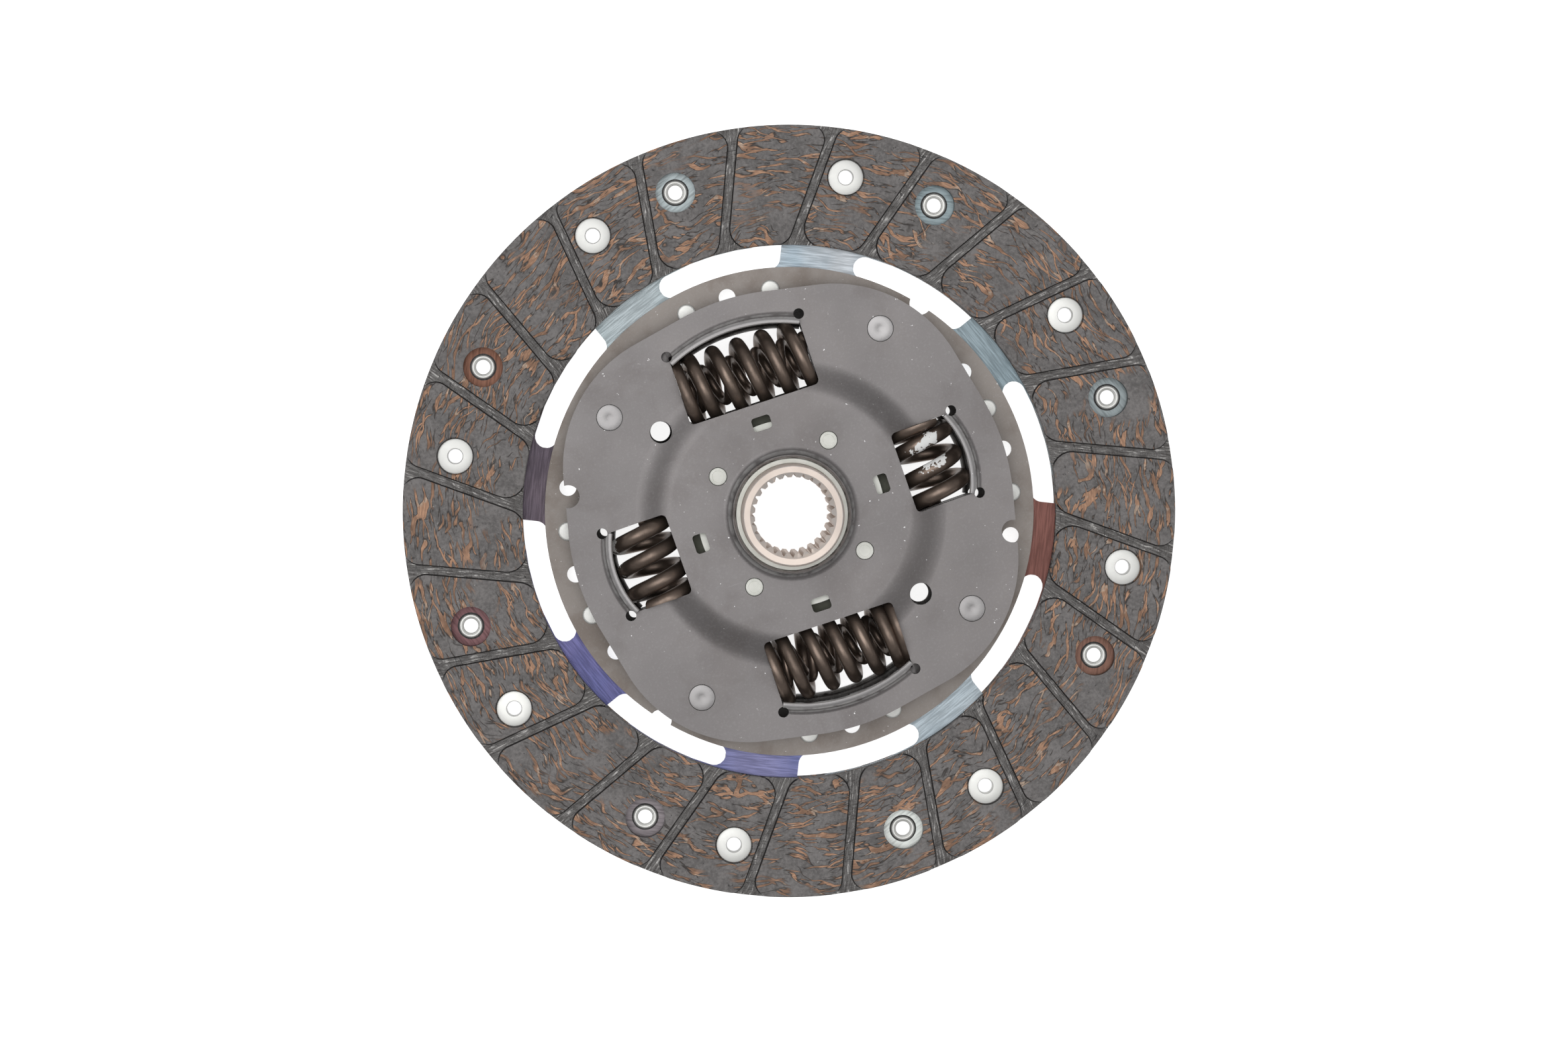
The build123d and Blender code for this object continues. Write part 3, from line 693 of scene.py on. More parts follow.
def facing_material(name, rear=False):
    """Moulded friction lining with drawn-out copper strands, painted shade on the pad walls and rippled
    groove floors with painted highlights.
    """
    settings = bpy.context.scene.clutch_facing
    material, tree, shader, vector = new_material(name)
    if rear:
        turn_over = (math.pi, 0.0, math.radians(FRONT_RIVETS[0] + REAR_RIVETS[0]))
        inputs = {"Vector": vector, "Location": (0, 0, STACK_TOP * MM), "Rotation": turn_over}
        vector = node(tree, "ShaderNodeMapping", inputs).outputs[0]
    swirl = place_group(tree, facing_swirl(), {"Vector": vector})
    layers = []
    for seed, sway, stretch in STRAND_LAYERS:
        inputs = {"Along": swirl["Along"], "Radius": swirl["Radius"]}
        inputs.update({"Seed": seed, "Sway": sway, "Stretch": stretch})
        layers.append(place_group(tree, strand_layer(), inputs))
    patches = remap(tree, noise(tree, vector, 75, 2, 0.5), 0.34, 0.46)
    strands = times(tree, largest(tree, [layer["Mask"] for layer in layers]), patches)
    crevice = times(tree, largest(tree, [layer["Edge"] for layer in layers]), patches)

    # The moulded base, uneven in tone
    mottle = noise(tree, vector, 120, 5, 0.65, 0.2)
    darker = [c * 0.72 for c in settings.colour]
    lighter = [c * 1.38 for c in settings.colour]
    speckle = noise(tree, vector, 1100, 3, 0.7)
    uneven = plus(tree, times(tree, mottle, 0.5), times(tree, speckle, 0.5))
    base = blend(tree, remap(tree, uneven, 0.36, 0.64), darker, lighter)
    # Painted shade: the crevice round each strand darkened to near black
    colour = blend(tree, times(tree, crevice, 0.8), base, (0.020, 0.014, 0.011))

    # The strands, with pale tips and fine threads
    tint = remap(tree, noise(tree, vector, 210, 2), 0.40, 0.60)
    tint = blend(tree, tint, settings.fibre_colour, [c * 1.8 for c in settings.fibre_colour])
    pale = remap(tree, noise(tree, vector, 330, 2, 0.6), 0.58, 0.66)
    tint = blend(tree, times(tree, pale, 0.7), tint, (0.62, 0.50, 0.40))
    thread = remap(tree, noise(tree, streaks(tree, swirl, 500.0, 3800.0), 1.0, 2, 0.6), 0.3, 0.62)
    tint = blend(tree, times(tree, thread, 0.5), tint, (0.10, 0.055, 0.035))
    colour = blend(tree, strands, colour, tint)
    # Painted shade: the pits darkened to near black
    pits = remap(tree, noise(tree, vector, 560, 3, 0.7), 0.66, 0.71)
    colour = blend(tree, times(tree, pits, 0.7), colour, (0.02, 0.018, 0.018))
    dust = remap(tree, noise(tree, vector, 900, 2, 0.7), 0.73, 0.77)
    colour = blend(tree, times(tree, dust, 0.35), colour, (0.6, 0.58, 0.56))

    # Where the surface is a pad's wall, which gets painted shade, and where it is a groove's floor
    up = calc(tree, "ABSOLUTE", normal_height(tree))
    past_bore = calc(tree, "GREATER_THAN", swirl["Radius"], (settings.inner_radius + RIM_MARGIN) * MM)
    in_rim = calc(tree, "LESS_THAN", swirl["Radius"], (settings.outer_radius - RIM_MARGIN) * MM)
    wall_shade = times(tree, remap(tree, up, LEVEL_NORMAL, 0.80), times(tree, past_bore, in_rim))
    floor_z = (STACK_TOP - settings.groove_depth) * MM
    at_floor = calc(tree, "COMPARE", swirl["Level"], floor_z, 0.12 * MM)
    floor = times(tree, calc(tree, "GREATER_THAN", up, LEVEL_NORMAL), at_floor)

    # The groove's floor, ridged across and barred along
    ridge = noise(tree, streaks(tree, swirl, 2100.0, 260.0), 1.0, 3, 0.6, 0.4)
    bar = noise(tree, streaks(tree, swirl, 220.0, 900.0), 1.0, 2, 0.6, 0.8)
    ridged = remap(tree, ridge, 0.35, 0.65)
    floor_colour = blend(tree, ridged, (0.062, 0.056, 0.053), (0.150, 0.142, 0.137))
    # Painted highlight: pale streaks along the ridges of the groove's floor
    floor_highlight = times(tree, remap(tree, ridge, 0.57, 0.66), remap(tree, bar, 0.35, 0.55))
    floor_colour = blend(tree, times(tree, floor_highlight, 0.8), floor_colour, (0.62, 0.60, 0.58))
    # Painted shade: the cracks across the groove's floor darkened to near black
    floor_colour = blend(tree, remap(tree, bar, 0.64, 0.70), floor_colour, (0.022, 0.020, 0.019))
    ripple = plus(tree, ridge, times(tree, bar, -0.6))

    colour = blend(tree, floor, colour, floor_colour)
    # Painted shade: the pad walls darkened to near black, as shade down the grooves' sides
    colour = blend(tree, wall_shade, colour, (0.022, 0.020, 0.020))
    tree.links.new(colour, shader.inputs["Base Color"])
    rough = blend(tree, floor, (0.78, 0.78, 0.78), (0.30, 0.30, 0.30))
    tree.links.new(blend(tree, wall_shade, rough, (0.4, 0.4, 0.4)), shader.inputs["Roughness"])
    height = minus(tree, times(tree, strands, 0.5), times(tree, crevice, 0.7))
    height = minus(tree, height, times(tree, pits, 0.8))
    height = plus(tree, height, times(tree, mottle, 0.6))
    height = plus(tree, height, times(tree, times(tree, ripple, floor), 5.0))
    bump(tree, shader, height, 0.6, 0.10)
    return material


def tempered(name, base, second, ring, bearing):
    """Spring steel in two temper colours, with a third round the rivet at a bearing, painted shadow rings
    round the facing rivets' ends, and a rolled grain.
    """
    if name in bpy.data.materials:
        return bpy.data.materials[name]
    material, tree, shader, vector = new_material(name)
    cloud = remap(tree, noise(tree, vector, 38, 3, 0.55, 0.6), 0.36, 0.64)
    colour = blend(tree, cloud, base, second)
    away = distance(tree, vector, polar(RIVET_CIRCLE_R, bearing, NECK_Z) * MM)
    ripple = times(tree, minus(tree, noise(tree, vector, 170, 2), 0.5), 0.006)
    away = plus(tree, away, ripple)
    colour = blend(tree, remap(tree, away, 14 * MM, 6 * MM), colour, ring)
    # Painted shadow: a near-black ring round each facing rivet's end on the segment
    for other in (bearing, bearing + FRONT_RIVETS[0] - REAR_RIVETS[0]):
        rivet_shadow = distance(tree, vector, polar(RIVET_CIRCLE_R, other, NECK_Z + SEGMENT_T / 2) * MM)
        rivet_shadow = calc(tree, "COMPARE", rivet_shadow, 3.42 * MM, 0.22 * MM)
        colour = blend(tree, rivet_shadow, colour, (0.012, 0.011, 0.011))
    lean = -math.radians(bearing + 19)
    turn = node(tree, "ShaderNodeVectorRotate", {"Vector": vector, "Angle": lean}, rotation_type="Z_AXIS")
    drawn = node(tree, "ShaderNodeMapping", {"Vector": turn.outputs[0], "Scale": (2600.0, 160.0, 160.0)})
    rolled = remap(tree, noise(tree, drawn.outputs[0], 1.0, 2, 0.6), 0.3, 0.7)
    colour = blend(tree, times(tree, rolled, 0.5), colour, (0.6, 0.6, 0.6), "MULTIPLY")
    tree.links.new(colour, shader.inputs["Base Color"])
    tree.links.new(plus(tree, 0.36, times(tree, rolled, 0.16)), shader.inputs["Roughness"])
    shader.inputs["Metallic"].default_value = 0.45
    bump(tree, shader, rolled, 0.2, 0.02)
    return material


def wire_material(name, paint, paint_place):
    """Oil-blackened spring wire, with dabs of marking paint where paint is above 0."""
    settings = bpy.context.scene.clutch_springs
    material, tree, shader, vector = new_material(name)
    cloud = remap(tree, noise(tree, vector, 150, 3, 0.6), 0.35, 0.7)
    colour = blend(tree, cloud, settings.colour, [c * 0.6 for c in settings.colour])
    rough = plus(tree, 0.36, times(tree, cloud, 0.12))
    metal = 0.9
    if paint > 0:
        away = distance(tree, vector, Vector(paint_place) * MM)
        near = remap(tree, away, 8.0 * MM, 2.5 * MM)
        dab = plus(tree, noise(tree, vector, 260, 3, 0.7), times(tree, near, 0.30))
        dab = times(tree, remap(tree, dab, 0.72, 0.75), paint)
        colour = blend(tree, dab, colour, (0.80, 0.80, 0.79))
        rough = plus(tree, rough, times(tree, dab, 0.3))
        tree.links.new(minus(tree, metal, dab, clamp=True), shader.inputs["Metallic"])
    else:
        shader.inputs["Metallic"].default_value = metal
    tree.links.new(colour, shader.inputs["Base Color"])
    tree.links.new(rough, shader.inputs["Roughness"])
    bump(tree, shader, noise(tree, vector, 700, 2), 0.12, 0.03)
    return material


def plastic(name, base, shade, roughness):
    """Moulded plastic with a faint cloud and fine surface."""
    if name in bpy.data.materials:
        return bpy.data.materials[name]
    material, tree, shader, vector = new_material(name)
    cloud = remap(tree, noise(tree, vector, 210, 4, 0.6), 0.35, 0.7)
    tree.links.new(blend(tree, cloud, base, shade), shader.inputs["Base Color"])
    grain = noise(tree, vector, 1300, 2, 0.6)
    tree.links.new(plus(tree, roughness, times(tree, grain, 0.12)), shader.inputs["Roughness"])
    bump(tree, shader, grain, 0.25, 0.03)
    return material


def pale_plastic():
    """The bushes' finish."""
    return plastic("pale_plastic", (0.68, 0.69, 0.63), (0.78, 0.78, 0.73), 0.4)


def dark_liner():
    """The friction rings' finish."""
    return plastic("dark_liner", (0.085, 0.088, 0.066), (0.110, 0.112, 0.088), 0.6)


def plate_steel():
    """The hub flange's finish."""
    settings = bpy.context.scene.clutch_plates
    shade = [c * 0.88 for c in settings.colour]
    return steel("plain_plate", settings.colour, shade, 0.8, 0.6, 0.42, 0.5, 0.4)


def cover_steel():
    """The cover's finish: faintly blotched, with a painted highlight on the lips' crests and painted shade
    round the neck's mouth.
    """
    settings = bpy.context.scene.clutch_plates
    material, tree, shader, vector = new_material("phosphated_plate")
    level, _, radius = from_shaft(tree, vector)
    face = COVER_Z + settings.thickness
    past_dish = calc(tree, "GREATER_THAN", radius, 43.5 * MM)
    # Painted highlight: the lips' crests lightened by their height above the face
    lips = times(tree, past_dish, remap(tree, level, (face + 1.7) * MM, (face + 2.1) * MM))
    # Painted shade: the neck's top darkened above this height
    mouth = calc(tree, "GREATER_THAN", level, (face + settings.dish + 5.0) * MM)
    blotch = remap(tree, noise(tree, vector, 55, 4, 0.62, 0.5), 0.44, 0.68)
    rubbed = remap(tree, noise(tree, vector, 24, 2, 0.5), 0.50, 0.70)
    base = blend(tree, times(tree, blotch, 0.6), settings.colour, (0.132, 0.119, 0.116))
    base = blend(tree, times(tree, rubbed, 0.5), base, (0.205, 0.190, 0.187))
    base = blend(tree, times(tree, lips, 0.8), base, (0.34, 0.33, 0.33))
    base = blend(tree, mouth, base, (0.085, 0.073, 0.068))
    inputs = {"Vector": vector, "Rotation": (0, 0, 0.6), "Scale": (60.0, 1500.0, 60.0)}
    drawn = node(tree, "ShaderNodeMapping", inputs).outputs[0]
    scratch = remap(tree, noise(tree, drawn, 1.0, 2, 0.7), 0.74, 0.78)
    base = blend(tree, times(tree, scratch, 0.25), base, (0.4, 0.39, 0.39))
    inputs = {"Vector": vector, "Base": base, "Stain": 0.0, "Specks": 0.8, "Wear": 0.5, "Roughness": 0.42}
    lay_grain(tree, shader, inputs, 0.5)
    return material


def rim_steel():
    """The drive plate's finish: stained at the rim, with painted shade on the side that the cover hides."""
    material, tree, shader, vector = new_material("stained_plate")
    _, _, radius = from_shaft(tree, vector)
    up = normal_height(tree)
    # Painted shade: near black inside the cover's reach, except on faces that look rearwards
    covered_shade = times(tree, remap(tree, radius, 57.5 * MM, 56.0 * MM), remap(tree, up, -0.6, -0.3))
    stain = remap(tree, noise(tree, vector, 70, 4, 0.6), 0.42, 0.66)
    rim = blend(tree, stain, (0.200, 0.178, 0.162), (0.150, 0.125, 0.108))
    inputs = {
        "Vector": vector, "Base": blend(tree, covered_shade, rim, (0.020, 0.017, 0.015)), "Stain": 0.0,
        "Specks": minus(tree, 0.5, covered_shade, clamp=True), "Wear": 0.4, "Roughness": 0.42,
    }
    lay_grain(tree, shader, inputs, 0.45)
    return material


def bright_steel():
    """Plated rivets and washers."""
    if "plated_rivet" in bpy.data.materials:
        return bpy.data.materials["plated_rivet"]
    return steel("plated_rivet", (0.74, 0.74, 0.71), (0.62, 0.62, 0.60), 0.8, 0.3, 0.44, 0.5, 0.4)


def pin_steel():
    """The stop pins' finish."""
    return steel("pin_steel", (0.34, 0.33, 0.33), (0.24, 0.23, 0.23), 0.7, 0.2, 0.38, 0.6, 0.6)


def hub_steel():
    """The hub's finish."""
    settings = bpy.context.scene.clutch_hub
    shade = [c * 0.82 for c in settings.colour]
    return steel("machined_hub", settings.colour, shade, 0.9, 0.3, 0.55, 0.5, 0.7)


# Pieces


def groove_outline(settings, draft):
    """Half a groove's width and its pads' rounded corners at both rims, drawn in by a draft."""
    middle = (settings.outer_radius + settings.inner_radius) / 2
    lean = settings.groove_slant
    axis = Vector((-middle * math.cos(lean), -middle * math.sin(lean)))
    sides = []
    for way in (1, -1):
        line = []
        for rim, corner, out in ((settings.inner_radius, 5.0, -1), (settings.outer_radius, 4.0, 1)):
            y = way * (settings.groove_width / 2 + corner)
            reach = rim - out * corner
            centre = Vector((axis.x + math.sqrt(reach**2 - (y - axis.y) ** 2), y))
            spoke = (centre - axis).normalized()
            straight = Vector((0, -way))
            bend = []
            for k in range(9):
                bend.append(centre + straight.lerp(spoke * out, k / 8).normalized() * (corner + draft))
            bend.append(bend[-1] + spoke * out * 3)
            line += bend if out > 0 else bend[::-1]
        sides.append(line)
    return [(p.x, p.y) for p in sides[0] + sides[1][::-1]]


def groove_cutter(settings):
    """A solid that cuts one groove, with walls that lean outwards as they rise."""
    middle = (settings.outer_radius + settings.inner_radius) / 2
    low = STACK_TOP - settings.groove_depth
    floor = groove_outline(settings, settings.groove_draft)
    cutter = slab("cutter", floor, low, STACK_TOP + settings.groove_depth)
    mouth = groove_outline(settings, -settings.groove_draft)
    for vertex, point in zip(cutter.data.vertices[len(floor):], mouth):
        vertex.co.xy = Vector(point) * MM
    return moved(cutter, shift_by(middle, 0, 0) @ Matrix.Rotation(-settings.groove_slant, 4, "Z"))


def front_facing(settings):
    """The front facing with its grooves, rivet recesses and access holes."""
    low = STACK_TOP - settings.thickness
    edge = 0.25
    outer = settings.outer_radius
    inner = settings.inner_radius
    profile = [(inner, low), (outer - edge, low), (outer, low + edge), (outer, STACK_TOP - edge)]
    profile += [(outer - edge, STACK_TOP), (inner + edge, STACK_TOP), (inner, STACK_TOP - edge)]
    facing = turned("front_facing", profile, 240)
    step = 360 / settings.grooves
    bearings = [FIRST_GROOVE + step * k for k in range(settings.grooves)]
    facing = combine(facing, ring_of(groove_cutter(settings), bearings, "cutter"))
    fronts = spots(settings.rivet_circle, FRONT_RIVETS)
    rears = spots(settings.rivet_circle, REAR_RIVETS)
    facing = cut_holes(facing, 5.12, fronts, RIVET_SEAT_Z, STACK_TOP + 1)
    facing = cut_holes(facing, 2.5, fronts, low - 1, STACK_TOP)
    facing = cut_holes(facing, 5.4, rears, low - 1, STACK_TOP + 1)
    return soften(facing, PLATE_EDGE, 2, 50)


class CLUTCH_OT_facings(bpy.types.Operator):
    """Models the two friction facings"""

    bl_idname = "clutch.facings"
    bl_label = "Facings"

    def execute(self, context):
        settings = context.scene.clutch_facing
        front = front_facing(settings)
        turn_over = Matrix.Rotation(math.pi, 4, "X")
        between = FRONT_RIVETS[0] + REAR_RIVETS[0]
        rear = twin(front, turn_by(between) @ shift_by(0, 0, STACK_TOP) @ turn_over)
        for piece, name in ((front, "front_facing"), (rear, "rear_facing")):
            finish(piece, facing_material(f"{name}_lining", name == "rear_facing"), 30)
            place(piece, name, "carrier", "facing")
        return {"FINISHED"}


def facing_rivet(settings):
    """One hollow rivet, its head in front."""
    seat = RIVET_SEAT_Z
    end = NECK_Z + SEGMENT_WAVE / 2
    top = seat + 0.8
    profile = [(1.94, top - 1.4), (2.2, top), (4.6, top), (4.74, top - 0.06), (4.79, top - 0.2)]
    profile += [(4.79, seat), (2.5, seat), (2.5, end), (2.95, end - 0.02), (3.22, end - 0.2)]
    profile += [(3.28, end - 0.45), (3.16, end - 0.8), (2.9, end - 0.98), (2.62, end - 1.0)]
    profile += [(2.42, end - 0.9), (2.36, end - 0.74), (2.1, end - 0.66), (1.96, end - 0.5)]
    rivet = turned("facing_rivet", profile, 48)
    return moved(rivet, shift_by(settings.rivet_circle, 0, 0))


class CLUTCH_OT_facing_rivets(bpy.types.Operator):
    """Models the hollow rivets that hold the facings"""

    bl_idname = "clutch.facing_rivets"
    bl_label = "Facing rivets"

    def execute(self, context):
        settings = context.scene.clutch_facing
        rivet = facing_rivet(settings)
        turn_over = shift_by(0, 0, STACK_TOP) @ Matrix.Rotation(math.pi, 4, "X")
        rear = ring_of(twin(rivet, turn_over), REAR_RIVETS, "facing_rivets_rear")
        front = ring_of(rivet, FRONT_RIVETS, "facing_rivets_front")
        for piece, name in ((front, "facing_rivets_front"), (rear, "facing_rivets_rear")):
            finish(piece, bright_steel(), 40)
            place(piece, name, "carrier", "rivet_steel")
        return {"FINISHED"}


def segment_outline():
    """The outline of a cushion segment with its foot centred on the bearing 0."""
    start, end = PADDLE_BEARING - 21.55, PADDLE_BEARING + 21.45
    neck, foot, flare = 10.0, 17.0, 3.1
    root_r, foot_r, inner_r, outer_r = 58.3, 66.2, 72.45, 103.5
    foot_side = math.sqrt(foot_r**2 - neck**2)
    neck_top = math.sqrt(inner_r**2 - neck**2)
    corners = [(*polar(root_r, bearing).xy, 0) for bearing in (-foot / 2, -1, foot / 2)]
    corners += [(*polar(root_r, foot).xy, 1.5), (*polar(foot_r, foot).xy, 2.2)]
    corners += [(foot_side, neck, flare), (neck_top, neck, 0)]
    corners += [(*polar(74.5, end).xy, 0), (*polar(outer_r, end).xy, 3)]
    corners += [(*polar(outer_r, bearing).xy, 0) for bearing in (5, 0, -5, -11, -17, -22, -27)]
    corners += [(*polar(outer_r, start).xy, 3), (*polar(inner_r, start).xy, 3)]
    corners += [(*polar(inner_r, bearing).xy, 0) for bearing in (-27, -22, -17)]
    corners += [(neck_top, -neck, flare), (foot_side, -neck, flare)]
    corners += [(*polar(foot_r, -foot).xy, 2.2), (*polar(root_r, -foot).xy, 1.5)]
    return rounded(corners)


def wave_height(point):
    """How far a segment's sheet is lifted at a point, in millimetres."""
    across = polar(1, PADDLE_BEARING + 90).dot(Vector((point.x, point.y, 0)))
    radius = math.hypot(point.x, point.y)
    wave = math.sin(math.pi * max(-1.0, min(1.0, across / 12.5)) / 2)
    if abs(across) > 18:
        wave *= math.cos(math.pi * min(1.0, (abs(across) - 18) / 14))
    fade = max(0.0, min(1.0, (radius - 73) / 6))
    return SEGMENT_WAVE / 2 * wave * fade * fade * (3 - 2 * fade)


def cushion_segment():
    """One segment with its foot centred on the bearing 0."""
    segment = slab("segment", segment_outline(), NECK_Z, NECK_Z + SEGMENT_T)
    segment = cut_holes(segment, 1.8, spots(SEGMENT_RIVET_R, (-11.25, 11.25)), 0, 9, 32)
    rivets = (FRONT_RIVETS[0] - FOOT_BEARING, REAR_RIVETS[0] - FOOT_BEARING)
    segment = cut_holes(segment, 2.45, spots(RIVET_CIRCLE_R, rivets), 0, 9, 32)
    segment = cut_holes(segment, 2.5, [(60.5, 0)], 0, 9, 32)
    edit(segment)
    for bearing in range(-34, 13, 2):
        bpy.ops.mesh.select_all(action="SELECT")
        bpy.ops.mesh.bisect(plane_co=(0, 0, 0), plane_no=polar(1, bearing + 90))
    for k in range(8):
        bpy.ops.mesh.select_all(action="SELECT")
        away = polar((72.6 + k * 1.3) * MM, PADDLE_BEARING)
        bpy.ops.mesh.bisect(plane_co=away, plane_no=polar(1, PADDLE_BEARING))
    close(segment)
    for vertex in segment.data.vertices:
        vertex.co.z += wave_height(vertex.co / MM) * MM
    return segment


# Each segment's two temper colours and the colour round its rear rivet
TEMPERS = (
    ((0.20, 0.26, 0.29), (0.23, 0.29, 0.32), (0.26, 0.30, 0.31)),
    ((0.30, 0.38, 0.44), (0.48, 0.51, 0.54), (0.24, 0.30, 0.32)),
    ((0.31, 0.37, 0.39), (0.36, 0.41, 0.43), (0.35, 0.40, 0.41)),
    ((0.066, 0.048, 0.068), (0.085, 0.062, 0.082), (0.165, 0.065, 0.035)),
    ((0.085, 0.090, 0.24), (0.115, 0.110, 0.27), (0.15, 0.065, 0.070)),
    ((0.135, 0.150, 0.33), (0.185, 0.185, 0.35), (0.20, 0.175, 0.185)),
    ((0.32, 0.39, 0.44), (0.39, 0.45, 0.49), (0.70, 0.73, 0.70)),
    ((0.145, 0.050, 0.038), (0.160, 0.056, 0.043), (0.20, 0.095, 0.065)),
)


class CLUTCH_OT_segments(bpy.types.Operator):
    """Models the eight waved cushion segments, each in its own temper colour"""

    bl_idname = "clutch.segments"
    bl_label = "Cushion segments"

    def execute(self, context):
        first = cushion_segment()
        for k, colours in enumerate(TEMPERS):
            segment = twin(first, turn_by(FOOT_BEARING + 45 * k))
            finish(segment, tempered(f"temper_{k + 1}", *colours, REAR_RIVETS[k]), 30)
            place(segment, f"cushion_segment_{k + 1}", "carrier", "tempered_steel")
        bpy.data.objects.remove(first)
        return {"FINISHED"}


class CLUTCH_OT_segment_rivets(bpy.types.Operator):
    """Models the rivets through the segments' feet"""

    bl_idname = "clutch.segment_rivets"
    bl_label = "Segment rivets"

    def execute(self, context):
        top = DRIVE_Z + context.scene.clutch_plates.thickness
        low = NECK_Z
        profile = [(0, top + 0.75), (2.0, top + 0.74), (2.3, top + 0.68), (2.52, top + 0.48)]
        profile += [(2.6, top + 0.2), (2.6, top), (1.8, top), (1.8, low), (2.6, low)]
        profile += [(2.55, low - 0.35), (2.1, low - 0.75), (1.2, low - 0.9), (0, low - 0.9)]
        rivet = moved(turned("segment_rivet", profile, 32), shift_by(SEGMENT_RIVET_R, 0, 0))
        rivets = ring_of(rivet, SEGMENT_RIVETS, "segment_rivets")
        finish(rivets, bright_steel(), 50)
        place(rivets, "segment_rivets", "carrier", "rivet_steel")
        return {"FINISHED"}


def window_arch(window):
    """The centre height and radius of a window's arched edge."""
    half, _, corner, peak = window
    rise = peak - corner
    radius = (half**2 + rise**2) / (2 * rise)
    return peak - radius, radius


def window_cutter(window, grow, low, high):
    """A solid that cuts a window; its arched edge stands further out by grow."""
    half, inner = window[:2]
    centre, radius = window_arch(window)
    radius += grow
    lean = math.degrees(math.asin(half / radius))
    outline = arc(0, centre, radius, 90 - lean, 90 + lean, 28)
    corners = [(-half, inner, 1.4), (half, inner, 1.4)]
    top = [(x, y, 0) for x, y in outline]
    return slab("cutter", rounded(top + corners), low, high)


def window_lip(window, z_near, z_far, settings, up):
    """The lip bent out of the sheet along a window's arched edge."""
    centre, radius = window_arch(window)
    sheet = settings.thickness
    outer = radius + sheet
    crest = z_far + settings.lip
    bend = 1.7
    fillet = 1.7
    root = outer + fillet
    profile = arc(radius + bend, z_near + bend, bend, 270, 180, 6)
    profile += [(radius, crest - 0.3), (radius + 0.3, crest), (radius + 0.85, crest)]
    profile += [(radius + 1.2, crest - 0.15), (outer - 0.25, crest - 0.4)]
    profile += arc(root, z_far + fillet, fillet, 180, 270, 6)[:-1]
    profile += [(root, z_far - 0.02), (root + 0.4, z_far - 0.1), (root, z_near + 0.1)]
    half = math.asin((window[0] - 0.02) / (radius + sheet / 2))
    lip = trace("lip", [(r, 0, z) for r, z in profile])
    moved(lip, Matrix.Rotation(math.pi / 2 + half, 4, "Z"))
    edit(lip, "FACE")
    bpy.ops.mesh.spin(steps=32, angle=2 * half, center=(0, 0, 0), axis=(0, 0, 1))
    bpy.ops.mesh.select_all(action="SELECT")
    bpy.ops.mesh.remove_doubles(threshold=1e-7)
    bpy.ops.mesh.fill_holes(sides=0)
    outwards(lip)
    moved(lip, shift_by(0, centre, 0))
    if not up:
        moved(lip, shift_by(0, 0, 2 * DRIVE_Z + sheet) @ Matrix.Scale(-1, 4, (0, 0, 1)))
        edit(lip, "FACE")
        outwards(lip)
    return lip


def open_windows(plate, settings, up):
    """Cuts the four windows of a damper plate and adds their lips and relief holes."""
    near = COVER_Z if up else DRIVE_Z
    low, high = near - 6, near + 8
    long_window = LONG_WINDOW if up else REAR_LONG_WINDOW
    short_window = SHORT_WINDOW if up else REAR_SHORT_WINDOW
    windows = list(zip(WINDOW_TURNS, (long_window, long_window, short_window, short_window)))
    for turn, window in windows:
        opening = window_cutter(window, 2.4, low, high)
        plate = combine(plate, moved(opening, turn_by(turn)))
    lips = []
    for turn, window in windows:
        lip = window_lip(window, near, near + settings.thickness, settings, up)
        lips.append(moved(lip, turn_by(turn)))
    plate = combine(plate, join(lips, "lips"), "UNION")
    places = []
    for turn, window in windows:
        aside, out = (2.2, 1.6) if window == REAR_LONG_WINDOW else (0.45, 2.9)
        for side in (-1, 1):
            spot = Vector((side * (window[0] + aside), window[2] + out, 0))
            places.append((turn_by(turn) @ spot).xy)
    return cut_holes(plate, 1.45, places, low, high, 32)


def dished(z, depth, steps=12):
    """(radius, height) points of a dished face from the flat rim side to the flat middle."""
    points = []
    for k in range(steps + 1):
        share = k / steps
        radius = DISH_OUTER_R + (DISH_INNER_R - DISH_OUTER_R) * share
        points.append((radius, z + depth * share * share * (3 - 2 * share)))
    return points


def cover_outline(settings):
    """The cover's outline: a round plate drawn out to four blunt lobes at the stop pins."""
    lobe_r = 37.9
    lobe_centres = [polar(64.6 - lobe_r, b) for b in PIN_BEARINGS]
    outline = []
    for k in range(360):
        way = polar(1, k)
        reach, centre, radius = settings.cover_radius, Vector((0, 0, 0)), settings.cover_radius
        for lobe in lobe_centres:
            if lobe.dot(way) + lobe_r > reach:
                reach, centre, radius = lobe.dot(way) + lobe_r, lobe, lobe_r
        outline.append(tuple((centre + way * radius).xy))
    return outline


